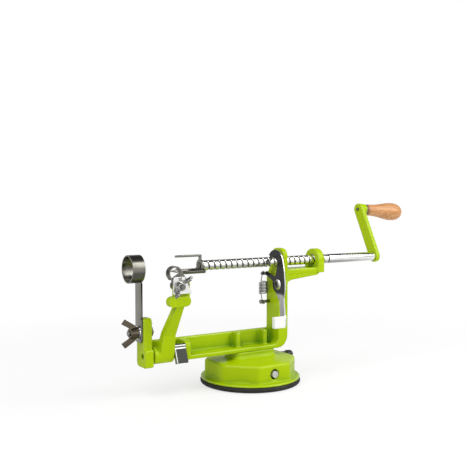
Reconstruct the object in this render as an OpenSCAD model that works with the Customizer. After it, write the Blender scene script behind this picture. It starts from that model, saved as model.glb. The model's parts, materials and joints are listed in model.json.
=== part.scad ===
// Hand-cranked apple peeler, corer and slicer on a suction base.
// Origin: centre of the base on the table. +X runs along the feed screw towards the crank,
// -Y is the side of the peeling arm, +Z is up. All sizes are millimetres.

/* [Base] */
// Diameter of the base cover's round flange
base_d = 98; // [94:1:106]
// Distance across the flats of the eight-sided cover
cover_flats = 84.6; // [78:0.2:86]
// Height of the cover's roof beside its seat, above the table
cover_h = 25; // [24:0.5:30]
// How far the roof falls from the seat to the cover's edge
roof_fall = 0.6; // [0.3:0.1:1.5]
// Wall thickness of the cover
cover_wall = 2.5; // [1.8:0.1:3]
// Rounding of the cover's upright corners
cover_round = 6; // [4:0.5:8]
// Height of the raised seat between cover and beam
seat_h = 6.7; // [5:0.1:10]
// Length of the raised seat along the beam
seat_l = 47; // [44:1:60]
// Thickness of the rubber pad
pad_t = 5; // [4:0.5:6]
// How far the rubber pad stands out past the flange
pad_lip = 0.5; // [0.2:0.1:1.5]
// Distance between the two screws that hold the beam
base_screw_pitch = 36; // [30:1:38]
// Diameter of those screws
base_screw_d = 4; // [3:0.5:5]

/* [Suction clamp] */
// Diameter of the cam shaft
cam_shaft_d = 6.4; // [5:0.2:7]
// Eccentricity of the cam
cam_throw = 1.25; // [0.8:0.05:1.4]
// Diameter of the cam lobe
cam_d = 8; // [7:0.2:8.4]
// Length of the suction lever from the shaft to the end of its grip
lever_l = 88; // [74:1:96]
// Height of the suction lever's strip
lever_h = 6; // [5:0.5:6.5]
// Diameter of the suction lever's grip
lever_grip_d = 8.2; // [8:0.2:12]

/* [Frame] */
// Height of the feed screw's axis above the table
axis_h = 117.6; // [112:0.2:124]
// Clear space between the front lug and the peeling arm
lug_gap = 6.2; // [4:0.1:9]
// Thickness of the front lug
lug_t = 8.5; // [7:0.5:10]
// Width of the front lug
lug_w = 15; // [13:0.5:17]
// Height of the front lug's top above the table
lug_top = 73; // [68:0.5:80]
// Distance from the base centre to the post's inner face
post_reach = 27; // [24:0.5:32]
// Thickness of the post along the screw
post_t = 11.4; // [10:0.2:14]
// Width of the casting across the screw
cast_w = 21.2; // [20:0.2:25]
// Height of the beam
beam_h = 18.5; // [16:0.5:22]
// Thickness of the beam's bottom flange
flange_t = 4.2; // [3.5:0.1:6]
// Thickness of the beam's upright web
web_t = 5.5; // [4:0.5:7]
// Thickness of each stiffening rib
rib_t = 4.6; // [3.5:0.1:6]
// Outside corner radius between beam and post
corner_r = 12; // [8:0.5:16]
// Clear span between the post and the end bearing
bearing_span = 38.6; // [34:0.2:46]
// Length of the end bearing
bearing_l = 8; // [7:0.5:12]
// Radius of the end bearing's round top
bearing_r = 11.5; // [10.4:0.1:14]

/* [Feed screw] */
// Pitch of the right-hand feed thread
pitch = 6.35; // [6:0.05:7]
// Crest diameter of the thread
thread_d = 9.6; // [9:0.1:10.4]
// Depth of the thread groove
thread_depth = 1.15; // [0.9:0.05:1.3]
// Width of the thread groove at the crest
groove_w = 2.8; // [2.4:0.1:3.4]
// Distance from the base centre to the back of the fork
fork_reach = 56; // [50:0.5:62]
// Length of the smooth sleeve between thread and crank
sleeve_l = 65; // [60:0.5:75]
// Radius of the fork's outer edge
fork_r = 10.6; // [9:0.1:11]
// Length of the fork's prongs
prong_l = 28; // [22:1:34]

/* [Crank] */
// Radius from the screw axis to the handle axis
crank_r = 57.4; // [50:0.2:66]
// Angle of the crank from upright, towards the back
crank_lean = 26.2; // [0:0.1:45]
// Width of the crank arm
crank_w = 13; // [12:0.5:16]
// Thickness of the crank arm
crank_t = 5; // [4:0.5:7]
// Length of the wooden grip
grip_l = 51; // [46:0.5:58]
// Diameter of the grip's neck
grip_neck_d = 12.8; // [11.6:0.2:16]
// Lean of the grip towards the screw axis, in degrees
grip_lean = 4; // [0:0.5:8]
// Largest diameter of the grip
grip_d = 20; // [18:0.2:24]
// Diameter of the handle spindle
spindle_d = 6; // [5:0.5:7]
// Diameter of the spindle's riveted end in the crank
rivet_d = 3.2; // [2.4:0.1:4.4]

/* [Release lever] */
// Thickness of the lever plate
plate_t = 2; // [1.5:0.1:2.5]
// How far the lever pivot lies in front of the screw axis
pivot_out = 13; // [12:0.5:15]
// How far the lever pivot lies below the screw axis
pivot_drop = 21.6; // [20:0.2:24]
// Length of the lever from the pivot down to its thumb tab
tail_l = 31.6; // [26:0.2:36]
// Length of the thumb tab
tab_l = 14; // [12:0.5:18]
// Height of the thumb tab
tab_h = 8.4; // [7:0.2:10]
// Outside diameter of the return spring
spring_d = 9.4; // [8:0.2:10.4]
// Wire diameter of the return spring
spring_wire = 1; // [0.8:0.1:1.1]
// Curls of the return spring
spring_curls = 8; // [6:1:10]

/* [Peeling arm] */
// Distance from the base centre to the middle of the peeling arm
arm_reach = 97.6; // [90:0.2:110]
// Width of the peeling arm
arm_w = 14; // [12:0.5:15]
// Radius of the arm's pivot hub
hub_r = 8; // [7:0.2:9]
// Height of the arm pivot above the beam's underside
pivot_up = 6.8; // [6:0.1:8]
// How far the arm's head lies in front of the screw axis
head_out = 31; // [28:0.5:36]
// How far the arm's head lies below the screw axis
head_drop = 27.6; // [25:0.2:31]
// Width of the arm's head
head_w = 22; // [19:0.5:24]
// Diameter of the arm's pivot pin
pin_d = 5; // [4:0.2:5.6]

/* [Peeling blade] */
// Outside width of the blade's hoop
hoop_w = 12.8; // [11:0.2:15]
// Thickness of the blade strip
hoop_t = 1.2; // [0.8:0.1:1.5]
// Width of the blade strip
strip_w = 6.5; // [5:0.5:7]
// Lean of the blade towards the slicer, in degrees
hoop_lean = 32; // [20:1:38]

/* [Slicer and corer] */
// Width of the slicer strip
slicer_w = 12; // [10:0.5:14]
// Thickness of the slicer strip
slicer_t = 1.8; // [1.4:0.1:2.4]
// Outside diameter of the coring ring
corer_d = 25.4; // [24.6:0.2:30]
// Length of the coring ring
corer_l = 12; // [9:0.5:15]
// Height of the slicer bolt above the table
slicer_bolt_h = 60; // [57:0.5:63]

/* [Fits] */
// Radial clearance of a running fit
run = 0.05; // [0.02:0.01:0.1]
// Clearance between pieces that pass or clamp each other
gap = 0.2; // [0.15:0.05:0.3]
// Radial clearance around the thread in its bearings
thread_gap = 0.3; // [0.25:0.05:0.5]

/* [Hidden] */
$fn = 64;

// Colours
lime = [0.66, 0.77, 0.06];
chrome = [0.72, 0.73, 0.74];
steel = [0.50, 0.51, 0.52];
black = [0.10, 0.10, 0.09];
wood = [0.80, 0.55, 0.30];
white = [0.95, 0.95, 0.94];

// Levels and places of the casting
beam_z = cover_h + seat_h;
flange_z = beam_z + flange_t;
web_z = beam_z + beam_h;
front_y = -cast_w / 2;
web_y = cast_w / 2 - web_t;
lug_x = -arm_reach - arm_w / 2 - lug_gap - lug_t;
lug_back = lug_x + lug_t;
lug_foot = beam_z - 3.2;
lug_block_h = 16.5;
post_x = post_reach;
post_back = post_x + post_t;
post_top = axis_h + 13.6;
post_round = 8;
post_cut = 6;
post_cut_h = 15;
fillet = 6;
bearing_x = post_back + bearing_span;
bearing_back = bearing_x + bearing_l;
bearing_foot = axis_h - 12.8;
strut_top = axis_h - thread_d / 2 - 2.8;
strut_h = 11.6;
strut_rise = 4;
rib_x = [-18, 14];
rib_d = 8.4;
ear_round = 6;
ear_front = front_y + 0.6;
lug_round = 3.5;
lug_bevel = [9, 5];
strut_w = cast_w - 2;
band_h = 4.5;
band_t = 0.6;
peg_depth = 6;

// Cover and suction clamp
base_r = base_d / 2;
flange_lip = 2.2;
flare_r = 3;
cavity_r = cover_flats / 2 - cover_wall - 1.5;
ceiling = cover_h - cover_wall;
edge_z = cover_h - roof_fall;
roof_margin = 3;
edge_cut = 1.6;
seat_round = 5;
shaft_proud = 0.9;
cam_z = (pad_t + ceiling) / 2 + 1.25;
cam_bearing_y = 8;
cam_bearing_t = 4;
cam_bearing_w = 12;
lobe_w = 9;
facet_y = cover_flats / 2;
cam_hole_r = cam_shaft_d / 2 + 1.6;
stud_foot_r = 9;
stud_foot_t = 2;
stud_foot_z = pad_t - stud_foot_t - 0.2;
stud_neck_r = 3.2;
eye_play = 0.4;
eye_w = cam_d + 2 * cam_throw + 2 * eye_play;
eye_h = cam_d + 2 * eye_play;
eye_wall = 1.5;
eye_t = 6;
eye_z = cam_z - cam_throw;
lever_t = 3;
lever_y = facet_y + 3.4;
grip_cap_l = 9;
lever_droop = 3.8;
base_washer_r = base_screw_d + 1;
base_washer_t = 1;
base_head_t = 2.4;

// Feed screw, from the fork to the crank
fork_t = 2;
fork_x = -fork_reach;
thread_r = thread_d / 2;
root_r = thread_r - thread_depth;
core_r = root_r - 0.1;
spigot_r = core_r - 0.6;
thread_x0 = fork_x;
thread_x1 = bearing_back + 10;
sleeve_x0 = thread_x1 + 3;
crank_x0 = sleeve_x0 + sleeve_l;
crank_x1 = crank_x0 + crank_t;
crank_boss = 4.6;
bore_r = thread_r + thread_gap;
prong_w = 3;
prong_t = fork_t;
fork_hub_r = 6;
crank_pin_d = 3;
pin_reach = spigot_r + 1.5;
washer_t = 1;
grip_x0 = crank_x1 + crank_boss + washer_t + gap;
grip_x1 = grip_x0 + grip_l;
rivet_t = 0.8;
grip_recess = 6;

// Release lever plate, just inside the post
lever_x1 = post_x - washer_t;
lever_x0 = lever_x1 - plate_t;
pivot_y = -pivot_out;
pivot_z = axis_h - pivot_drop;
pivot_d = 5;
pivot_head_r = 5.3;
pivot_head_t = 2.8;
pivot_ear_t = 4.5;
pivot_ear_r = 6.5;
lever_hub_r = 9;
hook_play = 0.4;
hook_in = thread_r + hook_play;
hook_out = 12.4;
hook_off = 8;
tooth_t = 1;
tooth_play = 0.45;
tooth_reach = root_r + tooth_play;
ear_out = 19.5;
ear_rise = 9.4;
ear_y = pivot_y + ear_out;
ear_z = pivot_z + ear_rise;
ear_r = 2.2;
tab_out = 11.6;
tab_y = pivot_y - tab_out;
tab_z = pivot_z - tail_l;
cap_wall = 1.4;

// Return spring, hung from the lever's ear to a peg in the post
spring_r = (spring_d - spring_wire) / 2;
spring_off = 2;
spring_x = post_x - spring_d / 2 - spring_off;
spring_y = ear_y;
peg_r = 1.5;
peg_play = 0.3;
hook_r = peg_r + peg_play + spring_wire / 2;
peg_head_r = 2.1;
peg_head_t = 1.3;
peg_end = 2.5;
peg_drop = 19;
peg_z = pivot_z - peg_drop;
coil_gap = 0.5;
coil_pitch = spring_wire + coil_gap;
coil_l = spring_curls * coil_pitch;
coil_z = (peg_z + ear_z - coil_l) / 2;

// Peeling arm and its pivot
arm_x = -arm_reach;
arm_x0 = arm_x - arm_w / 2;
arm_x1 = arm_x + arm_w / 2;
arm_pivot_y = -4;
arm_pivot_z = beam_z + pivot_up;
head_y = -head_out;
head_z = axis_h - head_drop;
head_h = 9.4;
head_t = 7;
arm_t = 7;
arm_taper = 6;
knee_up = 18.5;
knee_z = arm_pivot_z + knee_up;
knee_y = arm_pivot_y - 10.5;
latch_t = 1.2;
latch_l = 12;
latch_r = 5.5;
latch_out = 8.6;
latch_top = 4.6;
latch_foot = -11.6;
latch_roll_r = 2;
latch_roll_y = 1.4 - latch_out;
latch_lip = 3;
latch_tilt = 22;
latch_x0 = arm_x1 + gap;
latch_x1 = latch_x0 + latch_l;
ear_x = latch_x1 + gap;
ear_t = 6;
ear_step = 0.7;
ear_top = web_z - ear_step;
pin_x0 = lug_x + 2;
pin_x1 = ear_x + ear_t;
clip_t = 0.8;
clip_slot = 1.6;
clip_x = lug_back + gap;
clip_r = pin_d / 2 + 2;
hub_x0 = clip_x + clip_t + gap;

// Torsion spring on the pivot pin
torsion_wire = 1.2;
torsion_play = 2.2;
torsion_r = pin_d / 2 + torsion_play;
torsion_curls = 3.5;
torsion_gap = 0.45;
torsion_pitch = torsion_wire + torsion_gap;
torsion_leg = 6;
torsion_x0 = (latch_x0 + latch_x1 - torsion_curls * torsion_pitch) / 2;

// Blade seat, clamp and hoop on the arm's head
seat_t = 5;
seat_y = head_y - 2;
seat_top = axis_h - 8.6;
clamp_t = 1.6;
clamp_off = 0.9;
clamp_drop = 13.6;
clamp_x = arm_x - clamp_off;
clamp_top = axis_h - 5.6;
clamp_nut_r = 4.4;
clamp_nut_l = 6;
clamp_nut_turn = 48;
clamp_x0 = arm_x - 6.4;
seat_x0 = arm_x - 3.9;
seat_x1 = arm_x + 11.6;
clamp_z = axis_h - clamp_drop;
clamp_bolt_d = 4;
tang_y = seat_y - gap / 2 - hoop_t;
clamp_y = tang_y - gap / 2 - clamp_t;
hoop_r = hoop_w / 2;
hoop_off = 3.5;
hoop_drop = 2.4;
hoop_x = arm_x - hoop_off;
hoop_z = axis_h - hoop_drop;
hoop_leg = 3;
blade_play = 2;
slot_wall = 1.9;
slot_r = clamp_bolt_d / 2 + gap;
bolt_dx = hoop_off - clamp_off;
bolt_dz = hoop_drop - clamp_drop;
slot_p = bolt_dx * cos(hoop_lean) + bolt_dz * sin(hoop_lean);
slot_l = bolt_dz * cos(hoop_lean) - bolt_dx * sin(hoop_lean);
tang_p = slot_p - slot_r - slot_wall;
tang_l = slot_r + slot_wall + blade_play - slot_l;
tang_neck = 2 * hoop_leg;

// Slicer strip, ring and their bolt
slicer_x1 = lug_x - gap;
slicer_x0 = slicer_x1 - slicer_t;
slicer_bolt_d = 5;
corer_r = corer_d / 2;
corer_wall = 1.2;
slicer_foot = 9;
edge_t = 0.3;
edge_w = 3;
slicer_washer_t = 1;
wing_face = slicer_x0 - gap - slicer_washer_t;
wing_hub_r = 5.5;
wing_hub_l = 7.5;
wing_l = 15;
wing_r = 13;
wing_t = 2.4;

// Round bar along X, from x0 to x1, centred on y, z
module rod_x(x0, x1, r, y = 0, z = 0)
  translate([x0, y, z]) rotate([0, 90, 0]) cylinder(h = x1 - x0, r = r);

// Round bar along Y, from y0 to y1, centred on x, z
module rod_y(y0, y1, r, x = 0, z = 0)
  translate([x, y0, z]) rotate([-90, 0, 0]) cylinder(h = y1 - y0, r = r);

// Plate square to X: the outline's first axis is Y and its second is Z
module plate_x(x0, x1) translate([x0, 0, 0]) rotate([90, 0, 90]) linear_extrude(x1 - x0) children();

// Plate square to Y: the outline's first axis is X and its second is Z
module plate_y(y0, y1) translate([0, y1, 0]) rotate([90, 0, 0]) linear_extrude(y1 - y0) children();

// Block between two corners
module block(low, high) translate(low) cube(high - low);

// Flat rectangle between two corners, with round corners of radius r
module rounded_flat(low, high, r) {
  translate([low.x + r, low.y]) square([high.x - low.x - 2 * r, high.y - low.y]);
  translate([low.x, low.y + r]) square([high.x - low.x, high.y - low.y - 2 * r]);
  for (x = [low.x + r, high.x - r], y = [low.y + r, high.y - r])
    translate([x, y]) circle(r);
}

// Hexagon across flats, for nuts and heads
module hex_flat(flats) circle(r = flats / sqrt(3), $fn = 6);

// Tube through a list of points, one unbroken skin of six-sided rings
function unit(v) = v / norm(v);
function tangent(path, i) =
  unit(path[min(i + 1, len(path) - 1)] - path[max(i - 1, 0)]);
function side_of(t) = unit(cross(t, abs(t.z) < 0.9 ? [0, 0, 1] : [1, 0, 0]));
function carried(n, t) = unit(n - (n * t) * t);
function normals(path) =
  [for (i = 0, n = side_of(tangent(path, 0)); i < len(path);
    i = i + 1, n = carried(n, tangent(path, min(i, len(path) - 1)))) n];

module tube(path, r) {
  sides = 6;
  n = normals(path);
  last = len(path) - 1;
  points = [for (i = [0:last], k = [0:sides - 1])
    let (a = 360 * k / sides, b = cross(tangent(path, i), n[i]))
    path[i] + r * (cos(a) * n[i] + sin(a) * b)];
  skin = [for (i = [0:last - 1], k = [0:sides - 1])
    let (p = i * sides + k, q = i * sides + (k + 1) % sides)
    each [[p, p + sides, q], [q, p + sides, q + sides]]];
  ends = [for (k = [1:sides - 2])
    each [[0, k, k + 1], [last * sides, last * sides + k + 1, last * sides + k]]];
  polyhedron(points = points, faces = concat(skin, ends));
}

// Least distance between parts of a wire that lie at least one curl apart
function least_gap(path, wire, apart) =
  min([for (i = [0:len(path) - 1 - apart], j = [i + apart:len(path) - 1])
    norm(path[i] - path[j])]) - wire;

rings_per_curl = 8;

// Route of the return spring: peg hook, curls, ear hook
spring_path = concat(
  [for (a = [150:40:390]) [spring_x, spring_y + hook_r * cos(a), peg_z + hook_r * sin(a)]],
  [for (i = [0:spring_curls * rings_per_curl])
    let (a = 90 + 360 * i / rings_per_curl)
    [spring_x + spring_r * cos(a), spring_y + spring_r * sin(a),
     coil_z + coil_pitch * i / rings_per_curl]],
  [for (a = [-30:40:210]) [spring_x, spring_y + hook_r * cos(a), ear_z + hook_r * sin(a)]]);

// Route of the torsion spring: leg behind the web, curls round the pin, leg up the arm
torsion_path = concat(
  [[torsion_x0, arm_pivot_y + torsion_r, arm_pivot_z - torsion_leg]],
  [for (i = [0:torsion_curls * rings_per_curl])
    let (a = 360 * i / rings_per_curl)
    [torsion_x0 + torsion_pitch * i / rings_per_curl,
     arm_pivot_y + torsion_r * cos(a), arm_pivot_z + torsion_r * sin(a)]],
  [[torsion_x0 + torsion_pitch * torsion_curls, arm_pivot_y - torsion_r,
    arm_pivot_z - 0.67 * torsion_leg]]);

echo("release_spring least gap", least_gap(spring_path, spring_wire, 6));
echo("arm_spring least gap", least_gap(torsion_path, torsion_wire, 6));

// Right-hand thread: one helical ribbon of crest and groove, closed by a cone at each end
module thread(x0, x1) {
  steps = 20;
  turns = floor((x1 - x0 - groove_w) / pitch - 1);
  start = x0 + (x1 - x0 - groove_w - (turns + 1) * pitch) / 2;
  span = turns * steps;
  last = span + steps;
  // The groove is centred on the release lever's tooth at the top of the screw
  phase = 90 + 360 * (start + groove_w / 2 - (lever_x0 + lever_x1) / 2) / pitch;
  slope = groove_w / 4;
  profile = [[0, thread_r], [slope, root_r], [groove_w - slope, root_r], [groove_w, thread_r]];
  m = len(profile);
  ribbon = [for (k = [0:last], j = [0:m - 1])
    let (a = phase + 360 * k / steps)
    [start + pitch * k / steps + profile[j].x, profile[j].y * cos(a), profile[j].y * sin(a)]];
  tips = [[start + pitch / 4, 0, 0], [start + pitch * (turns + 3 / 4) + groove_w, 0, 0]];
  left = len(ribbon);
  right = left + 1;
  groove = [for (k = [0:last - 1], j = [0:m - 2])
    let (p = k * m + j)
    each [[p, p + 1, p + m], [p + 1, p + m + 1, p + m]]];
  crest = [for (k = [0:span - 1])
    let (p = k * m + m - 1, q = (k + steps) * m)
    each [[p, q, p + m], [q, q + m, p + m]]];
  left_cone = [for (k = [0:steps - 1]) [left, k * m, (k + 1) * m]];
  left_step = [for (j = [0:m - 1]) [left, j < m - 1 ? j + 1 : steps * m, j]];
  right_cone = [for (k = [span:last - 1]) [right, (k + 1) * m + m - 1, k * m + m - 1]];
  right_step = [for (j = [0:m - 1])
    [right, j < m - 1 ? last * m + j : span * m + m - 1, last * m + (j + 1) % m]];
  polyhedron(points = concat(ribbon, tips),
    faces = concat(groove, crest, left_cone, left_step, right_cone, right_step));
}

// Cast frame: L-shaped beam and post, strut with end bearing, front lug, pin ear and lever ear
module beam_outline() difference() {
  union() {
    translate([ear_x, beam_z]) square([post_back - corner_r - ear_x, post_top - beam_z]);
    translate([ear_x, beam_z + corner_r]) square([post_back - ear_x, post_top - beam_z - corner_r]);
    translate([post_back - corner_r, beam_z + corner_r]) circle(corner_r);
  }
  translate([ear_x - 1, flange_z]) square([post_x - fillet - ear_x + 1, post_top]);
  translate([ear_x - 1, flange_z + fillet]) square([post_x - ear_x + 1, post_top]);
  translate([post_x - fillet, flange_z + fillet]) circle(fillet);
}

module frame() color(lime) difference() {
  union() {
    intersection() {
      plate_y(front_y, -front_y) beam_outline();
      plate_x(ear_x - 1, post_back + 1)
        rounded_flat([front_y, beam_z - 2 * post_round], [-front_y, post_top], post_round);
    }
    block([lug_back - lug_t / 2, web_y, beam_z], [post_x + 1, -front_y, web_z]);
    for (x = rib_x) block([x, web_y - rib_d, beam_z + 1], [x + rib_t, web_y + 1, web_z]);
    plate_x(ear_x, ear_x + ear_t) {
      translate([ear_front + ear_round, beam_z])
        square([web_y + 1 - ear_front - ear_round, ear_top - beam_z]);
      translate([ear_front, beam_z]) square([ear_round, ear_top - ear_round - beam_z]);
      translate([ear_front + ear_round, ear_top - ear_round]) circle(ear_round);
    }
    plate_x(lug_x, lug_back) rounded_flat([-lug_w / 2, lug_foot], [lug_w / 2, lug_top], lug_round);
    plate_x(lug_x, lug_back) polygon([[front_y, lug_foot + 1], [front_y + 1, lug_foot],
      [lug_w / 2 - lug_bevel.x, lug_foot], [lug_w / 2, lug_foot + lug_bevel.y],
      [lug_w / 2, lug_foot + lug_block_h], [front_y + 1, lug_foot + lug_block_h],
      [front_y, lug_foot + lug_block_h - 1]]);
    plate_x(post_x, post_x + pivot_ear_t) {
      translate([pivot_y, pivot_z]) circle(pivot_ear_r);
      polygon([[pivot_y, pivot_z + pivot_ear_r], [front_y + 2, pivot_z + pivot_ear_r + 6],
        [front_y + 2, pivot_z - pivot_ear_r - 6], [pivot_y, pivot_z - pivot_ear_r]]);
    }
    plate_y(-strut_w / 2, strut_w / 2) polygon([[post_back - 1, strut_top],
      [bearing_back - 1, strut_top], [bearing_back - 1, bearing_foot], [bearing_x + 3, bearing_foot],
      [bearing_x + 1.4, strut_top - strut_h + strut_rise], [post_back + fillet, strut_top - strut_h + 0.4],
      [post_back + fillet / 3, strut_top - strut_h - 1.2], [post_back, strut_top - strut_h - fillet + 1],
      [post_back - 1, strut_top - strut_h - fillet + 1]]);
    block([post_back - 1, -strut_w / 2 - band_t, strut_top - band_h],
      [bearing_x + 1, strut_w / 2 + band_t, strut_top]);
    plate_x(bearing_x, bearing_back) {
      translate([0, axis_h]) circle(bearing_r);
      translate([-bearing_r, bearing_foot]) square([2 * bearing_r, axis_h - bearing_foot]);
    }
  }
  plate_y(-cast_w, cast_w) translate([post_x, pivot_z + pivot_ear_r + gap]) polygon([[-1, 0], [0, 0],
    [post_cut, post_cut_h], [post_cut, post_top - pivot_z], [-1, post_top - pivot_z]]);
  rod_x(post_x - 1, bearing_back + 1, bore_r, 0, axis_h);
  rod_x(lug_x - 1, ear_x + ear_t + 1, pin_d / 2 + run, arm_pivot_y, arm_pivot_z);
  rod_x(lug_x - 1, lug_back + 1, slicer_bolt_d / 2 + run, 0, slicer_bolt_h);
  rod_x(post_x - 1, post_x + pivot_ear_t + 1, pivot_d / 2, pivot_y, pivot_z);
  rod_x(post_x - 1, post_x + peg_depth, peg_r, spring_y, peg_z);
  for (x = [-1, 1] * base_screw_pitch / 2)
    translate([x, 0, beam_z - 1]) cylinder(h = flange_t + 0.4, d = base_screw_d);
}

// Outline of the seat under the beam, widened all round by a margin
module seat_flat(margin) rounded_flat([-seat_l / 2 - margin, front_y - margin],
  [seat_l / 2 + margin, margin - front_y], seat_round + margin);

// Suction cover: eight-sided shell with a low roof and a seat on a sloping foot, on a round flange
module base_cover() color(lime) difference() {
  union() {
    hull() {
      for (a = [22.5:45:360]) rotate(a) translate([(facet_y - cover_round) / cos(22.5), 0, 0]) {
        translate([0, 0, pad_t]) cylinder(h = edge_z - edge_cut - pad_t, r = cover_round, $fn = 32);
        translate([0, 0, edge_z - 1]) cylinder(h = 1, r = cover_round - edge_cut, $fn = 32);
      }
      translate([0, 0, cover_h - 1]) linear_extrude(1) seat_flat(roof_margin, $fn = 32);
    }
    rotate_extrude($fn = 96) {
      translate([cavity_r, pad_t]) square([base_r - cavity_r, flange_lip]);
      difference() {
        translate([cavity_r, pad_t]) square([facet_y + flare_r - cavity_r, flange_lip + flare_r]);
        translate([facet_y + flare_r, pad_t + flange_lip + flare_r]) circle(flare_r);
      }
    }
    translate([0, 0, cover_h - 1]) linear_extrude(seat_h + 1) seat_flat(0);
    hull() {
      translate([0, 0, cover_h - 0.5]) linear_extrude(0.1) seat_flat(roof_margin, $fn = 32);
      translate([0, 0, cover_h + roof_margin]) linear_extrude(0.1) seat_flat(0, $fn = 32);
    }
  }
  difference() {
    translate([0, 0, pad_t - 1]) cylinder(h = ceiling - pad_t + 1, r = cavity_r);
    for (s = [-1, 1]) difference() {
      block([-cam_bearing_w / 2, s * (cam_bearing_y + cam_bearing_t / 2) - cam_bearing_t / 2,
        cam_z - cam_bearing_w / 2],
        [cam_bearing_w / 2, s * (cam_bearing_y + cam_bearing_t / 2) + cam_bearing_t / 2, ceiling + 1]);
      rod_y(-cavity_r, cavity_r, cam_shaft_d / 2 + run, 0, cam_z);
    }
  }
  for (y = [-1, 1] * facet_y) rod_y(y - 6, y + 6, cam_hole_r, 0, cam_z);
  for (x = [-1, 1] * base_screw_pitch / 2)
    translate([x, 0, ceiling - 1]) cylinder(h = beam_z - ceiling + 2, d = base_screw_d + 2 * run);
}

// Rubber pad with a pocket for the stud's foot
module suction_pad() color(black) rotate_extrude($fn = 96) difference() {
  union() {
    square([base_r + pad_lip - pad_t / 2, pad_t]);
    translate([base_r + pad_lip - pad_t / 2, pad_t / 2]) circle(pad_t / 2);
  }
  translate([-1, stud_foot_z - 0.3]) square([stud_foot_r + 1.3, pad_t]);
  translate([-base_r, 0]) square([base_r, pad_t]);
}

// Stud that pulls the pad's centre up: foot, neck and an eye around the cam
module suction_stud() color(steel) difference() {
  union() {
    translate([0, 0, stud_foot_z]) cylinder(h = stud_foot_t, r = stud_foot_r);
    translate([0, 0, stud_foot_z]) cylinder(h = eye_z - eye_h / 2 - stud_foot_z, r = stud_neck_r);
    block([-eye_w / 2 - eye_wall, -eye_t / 2, eye_z - eye_h / 2 - eye_wall],
      [eye_w / 2 + eye_wall, eye_t / 2, eye_z + eye_h / 2 + eye_wall]);
  }
  block([-eye_w / 2, -eye_t, eye_z - eye_h / 2], [eye_w / 2, eye_t, eye_z + eye_h / 2]);
}

// Shaft with the eccentric that lifts the stud
module cam_shaft() color(chrome) {
  rod_y(-facet_y - shaft_proud, -lobe_w / 2 + 0.8, cam_shaft_d / 2, 0, cam_z);
  rod_y(lobe_w / 2 - 0.8, lever_y + lever_t, cam_shaft_d / 2, 0, cam_z);
  rod_y(-lobe_w / 2, lobe_w / 2, cam_d / 2, 0, cam_z - cam_throw);
  rod_y(lever_y + lever_t, lever_y + lever_t + 1, cam_shaft_d / 2 + 0.8, 0, cam_z);
}

// Steel strip of the suction lever, drooping slightly
module on_cam() translate([0, 0, cam_z]) rotate([0, lever_droop, 0]) children();

module suction_lever() color(steel) on_cam() difference() {
  plate_y(lever_y, lever_y + lever_t) {
    circle(lever_h * 0.7);
    translate([0, -lever_h / 2]) square([lever_l - 5, lever_h]);
  }
  rod_y(lever_y - 1, lever_y + lever_t + 1, cam_shaft_d / 2);
}

module lever_grip() color(black) on_cam() difference() {
  translate([0, lever_y + lever_t / 2, 0]) {
    rod_x(lever_l - grip_cap_l, lever_l - lever_grip_d / 2, lever_grip_d / 2);
    translate([lever_l - lever_grip_d / 2, 0, 0]) sphere(d = lever_grip_d);
  }
  block([0, lever_y - run, -lever_h / 2 - run],
    [lever_l - 5 + run, lever_y + lever_t + run, lever_h / 2 + run]);
}

// Two screws from inside the cover into the beam
module base_screws() color(steel) for (x = [-1, 1] * base_screw_pitch / 2) translate([x, 0, 0]) {
  translate([0, 0, ceiling - base_washer_t]) cylinder(h = flange_z - 1 - ceiling + base_washer_t,
    d = base_screw_d);
  translate([0, 0, ceiling - base_washer_t - base_head_t]) cylinder(h = base_head_t, d = 2 * base_screw_d);
}

module base_washers() color(steel) for (x = [-1, 1] * base_screw_pitch / 2)
  translate([x, 0, ceiling - base_washer_t]) difference() {
    cylinder(h = base_washer_t, r = base_washer_r);
    translate([0, 0, -1]) cylinder(h = base_washer_t + 2, d = base_screw_d + 2 * run);
  }

// Feed screw: thread, plain core inside the sleeve, a spigot at each end
module feed_screw() color(chrome) translate([0, 0, axis_h]) difference() {
  union() {
    thread(thread_x0, thread_x1);
    rod_x(fork_x, crank_x0, core_r);
    rod_x(thread_x1 - 1, sleeve_x0 - gap, thread_r - 0.3);
    rod_x(fork_x - fork_t - 0.6, fork_x + 1, spigot_r);
    rod_x(crank_x0 - 1, crank_x1 + 0.8, spigot_r);
  }
  on_crank() rod_y(-crank_w, crank_w, crank_pin_d / 2, crank_x0 + crank_t / 2);
}

// Turns a piece about the screw axis into line with the crank
module on_crank() rotate([-crank_lean, 0, 0]) children();

// Fork: three-armed plate with a pointed prong on each arm
module fork() color(steel) translate([0, 0, axis_h]) difference() {
  union() {
    rod_x(fork_x - fork_t, fork_x, fork_hub_r);
    for (a = [0, 120, 240]) rotate([a, 0, 0]) {
      block([fork_x - fork_t, -prong_w / 2, 0], [fork_x, prong_w / 2, fork_r]);
      translate([0, 0, fork_r - prong_t]) linear_extrude(prong_t) polygon([[fork_x, -prong_w / 2],
        [fork_x, prong_w / 2], [fork_x - prong_l + 2 * prong_w, prong_w / 2], [fork_x - prong_l, 0],
        [fork_x - prong_l + 2 * prong_w, -prong_w / 2]]);
    }
  }
  rod_x(fork_x - fork_t - 1, fork_x + 1, spigot_r);
}

module shaft_sleeve() color(chrome) translate([0, 0, axis_h]) difference() {
  rod_x(sleeve_x0, crank_x0 - gap, thread_r);
  rod_x(sleeve_x0 - 1, crank_x0 + 1, core_r + run);
}

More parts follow.
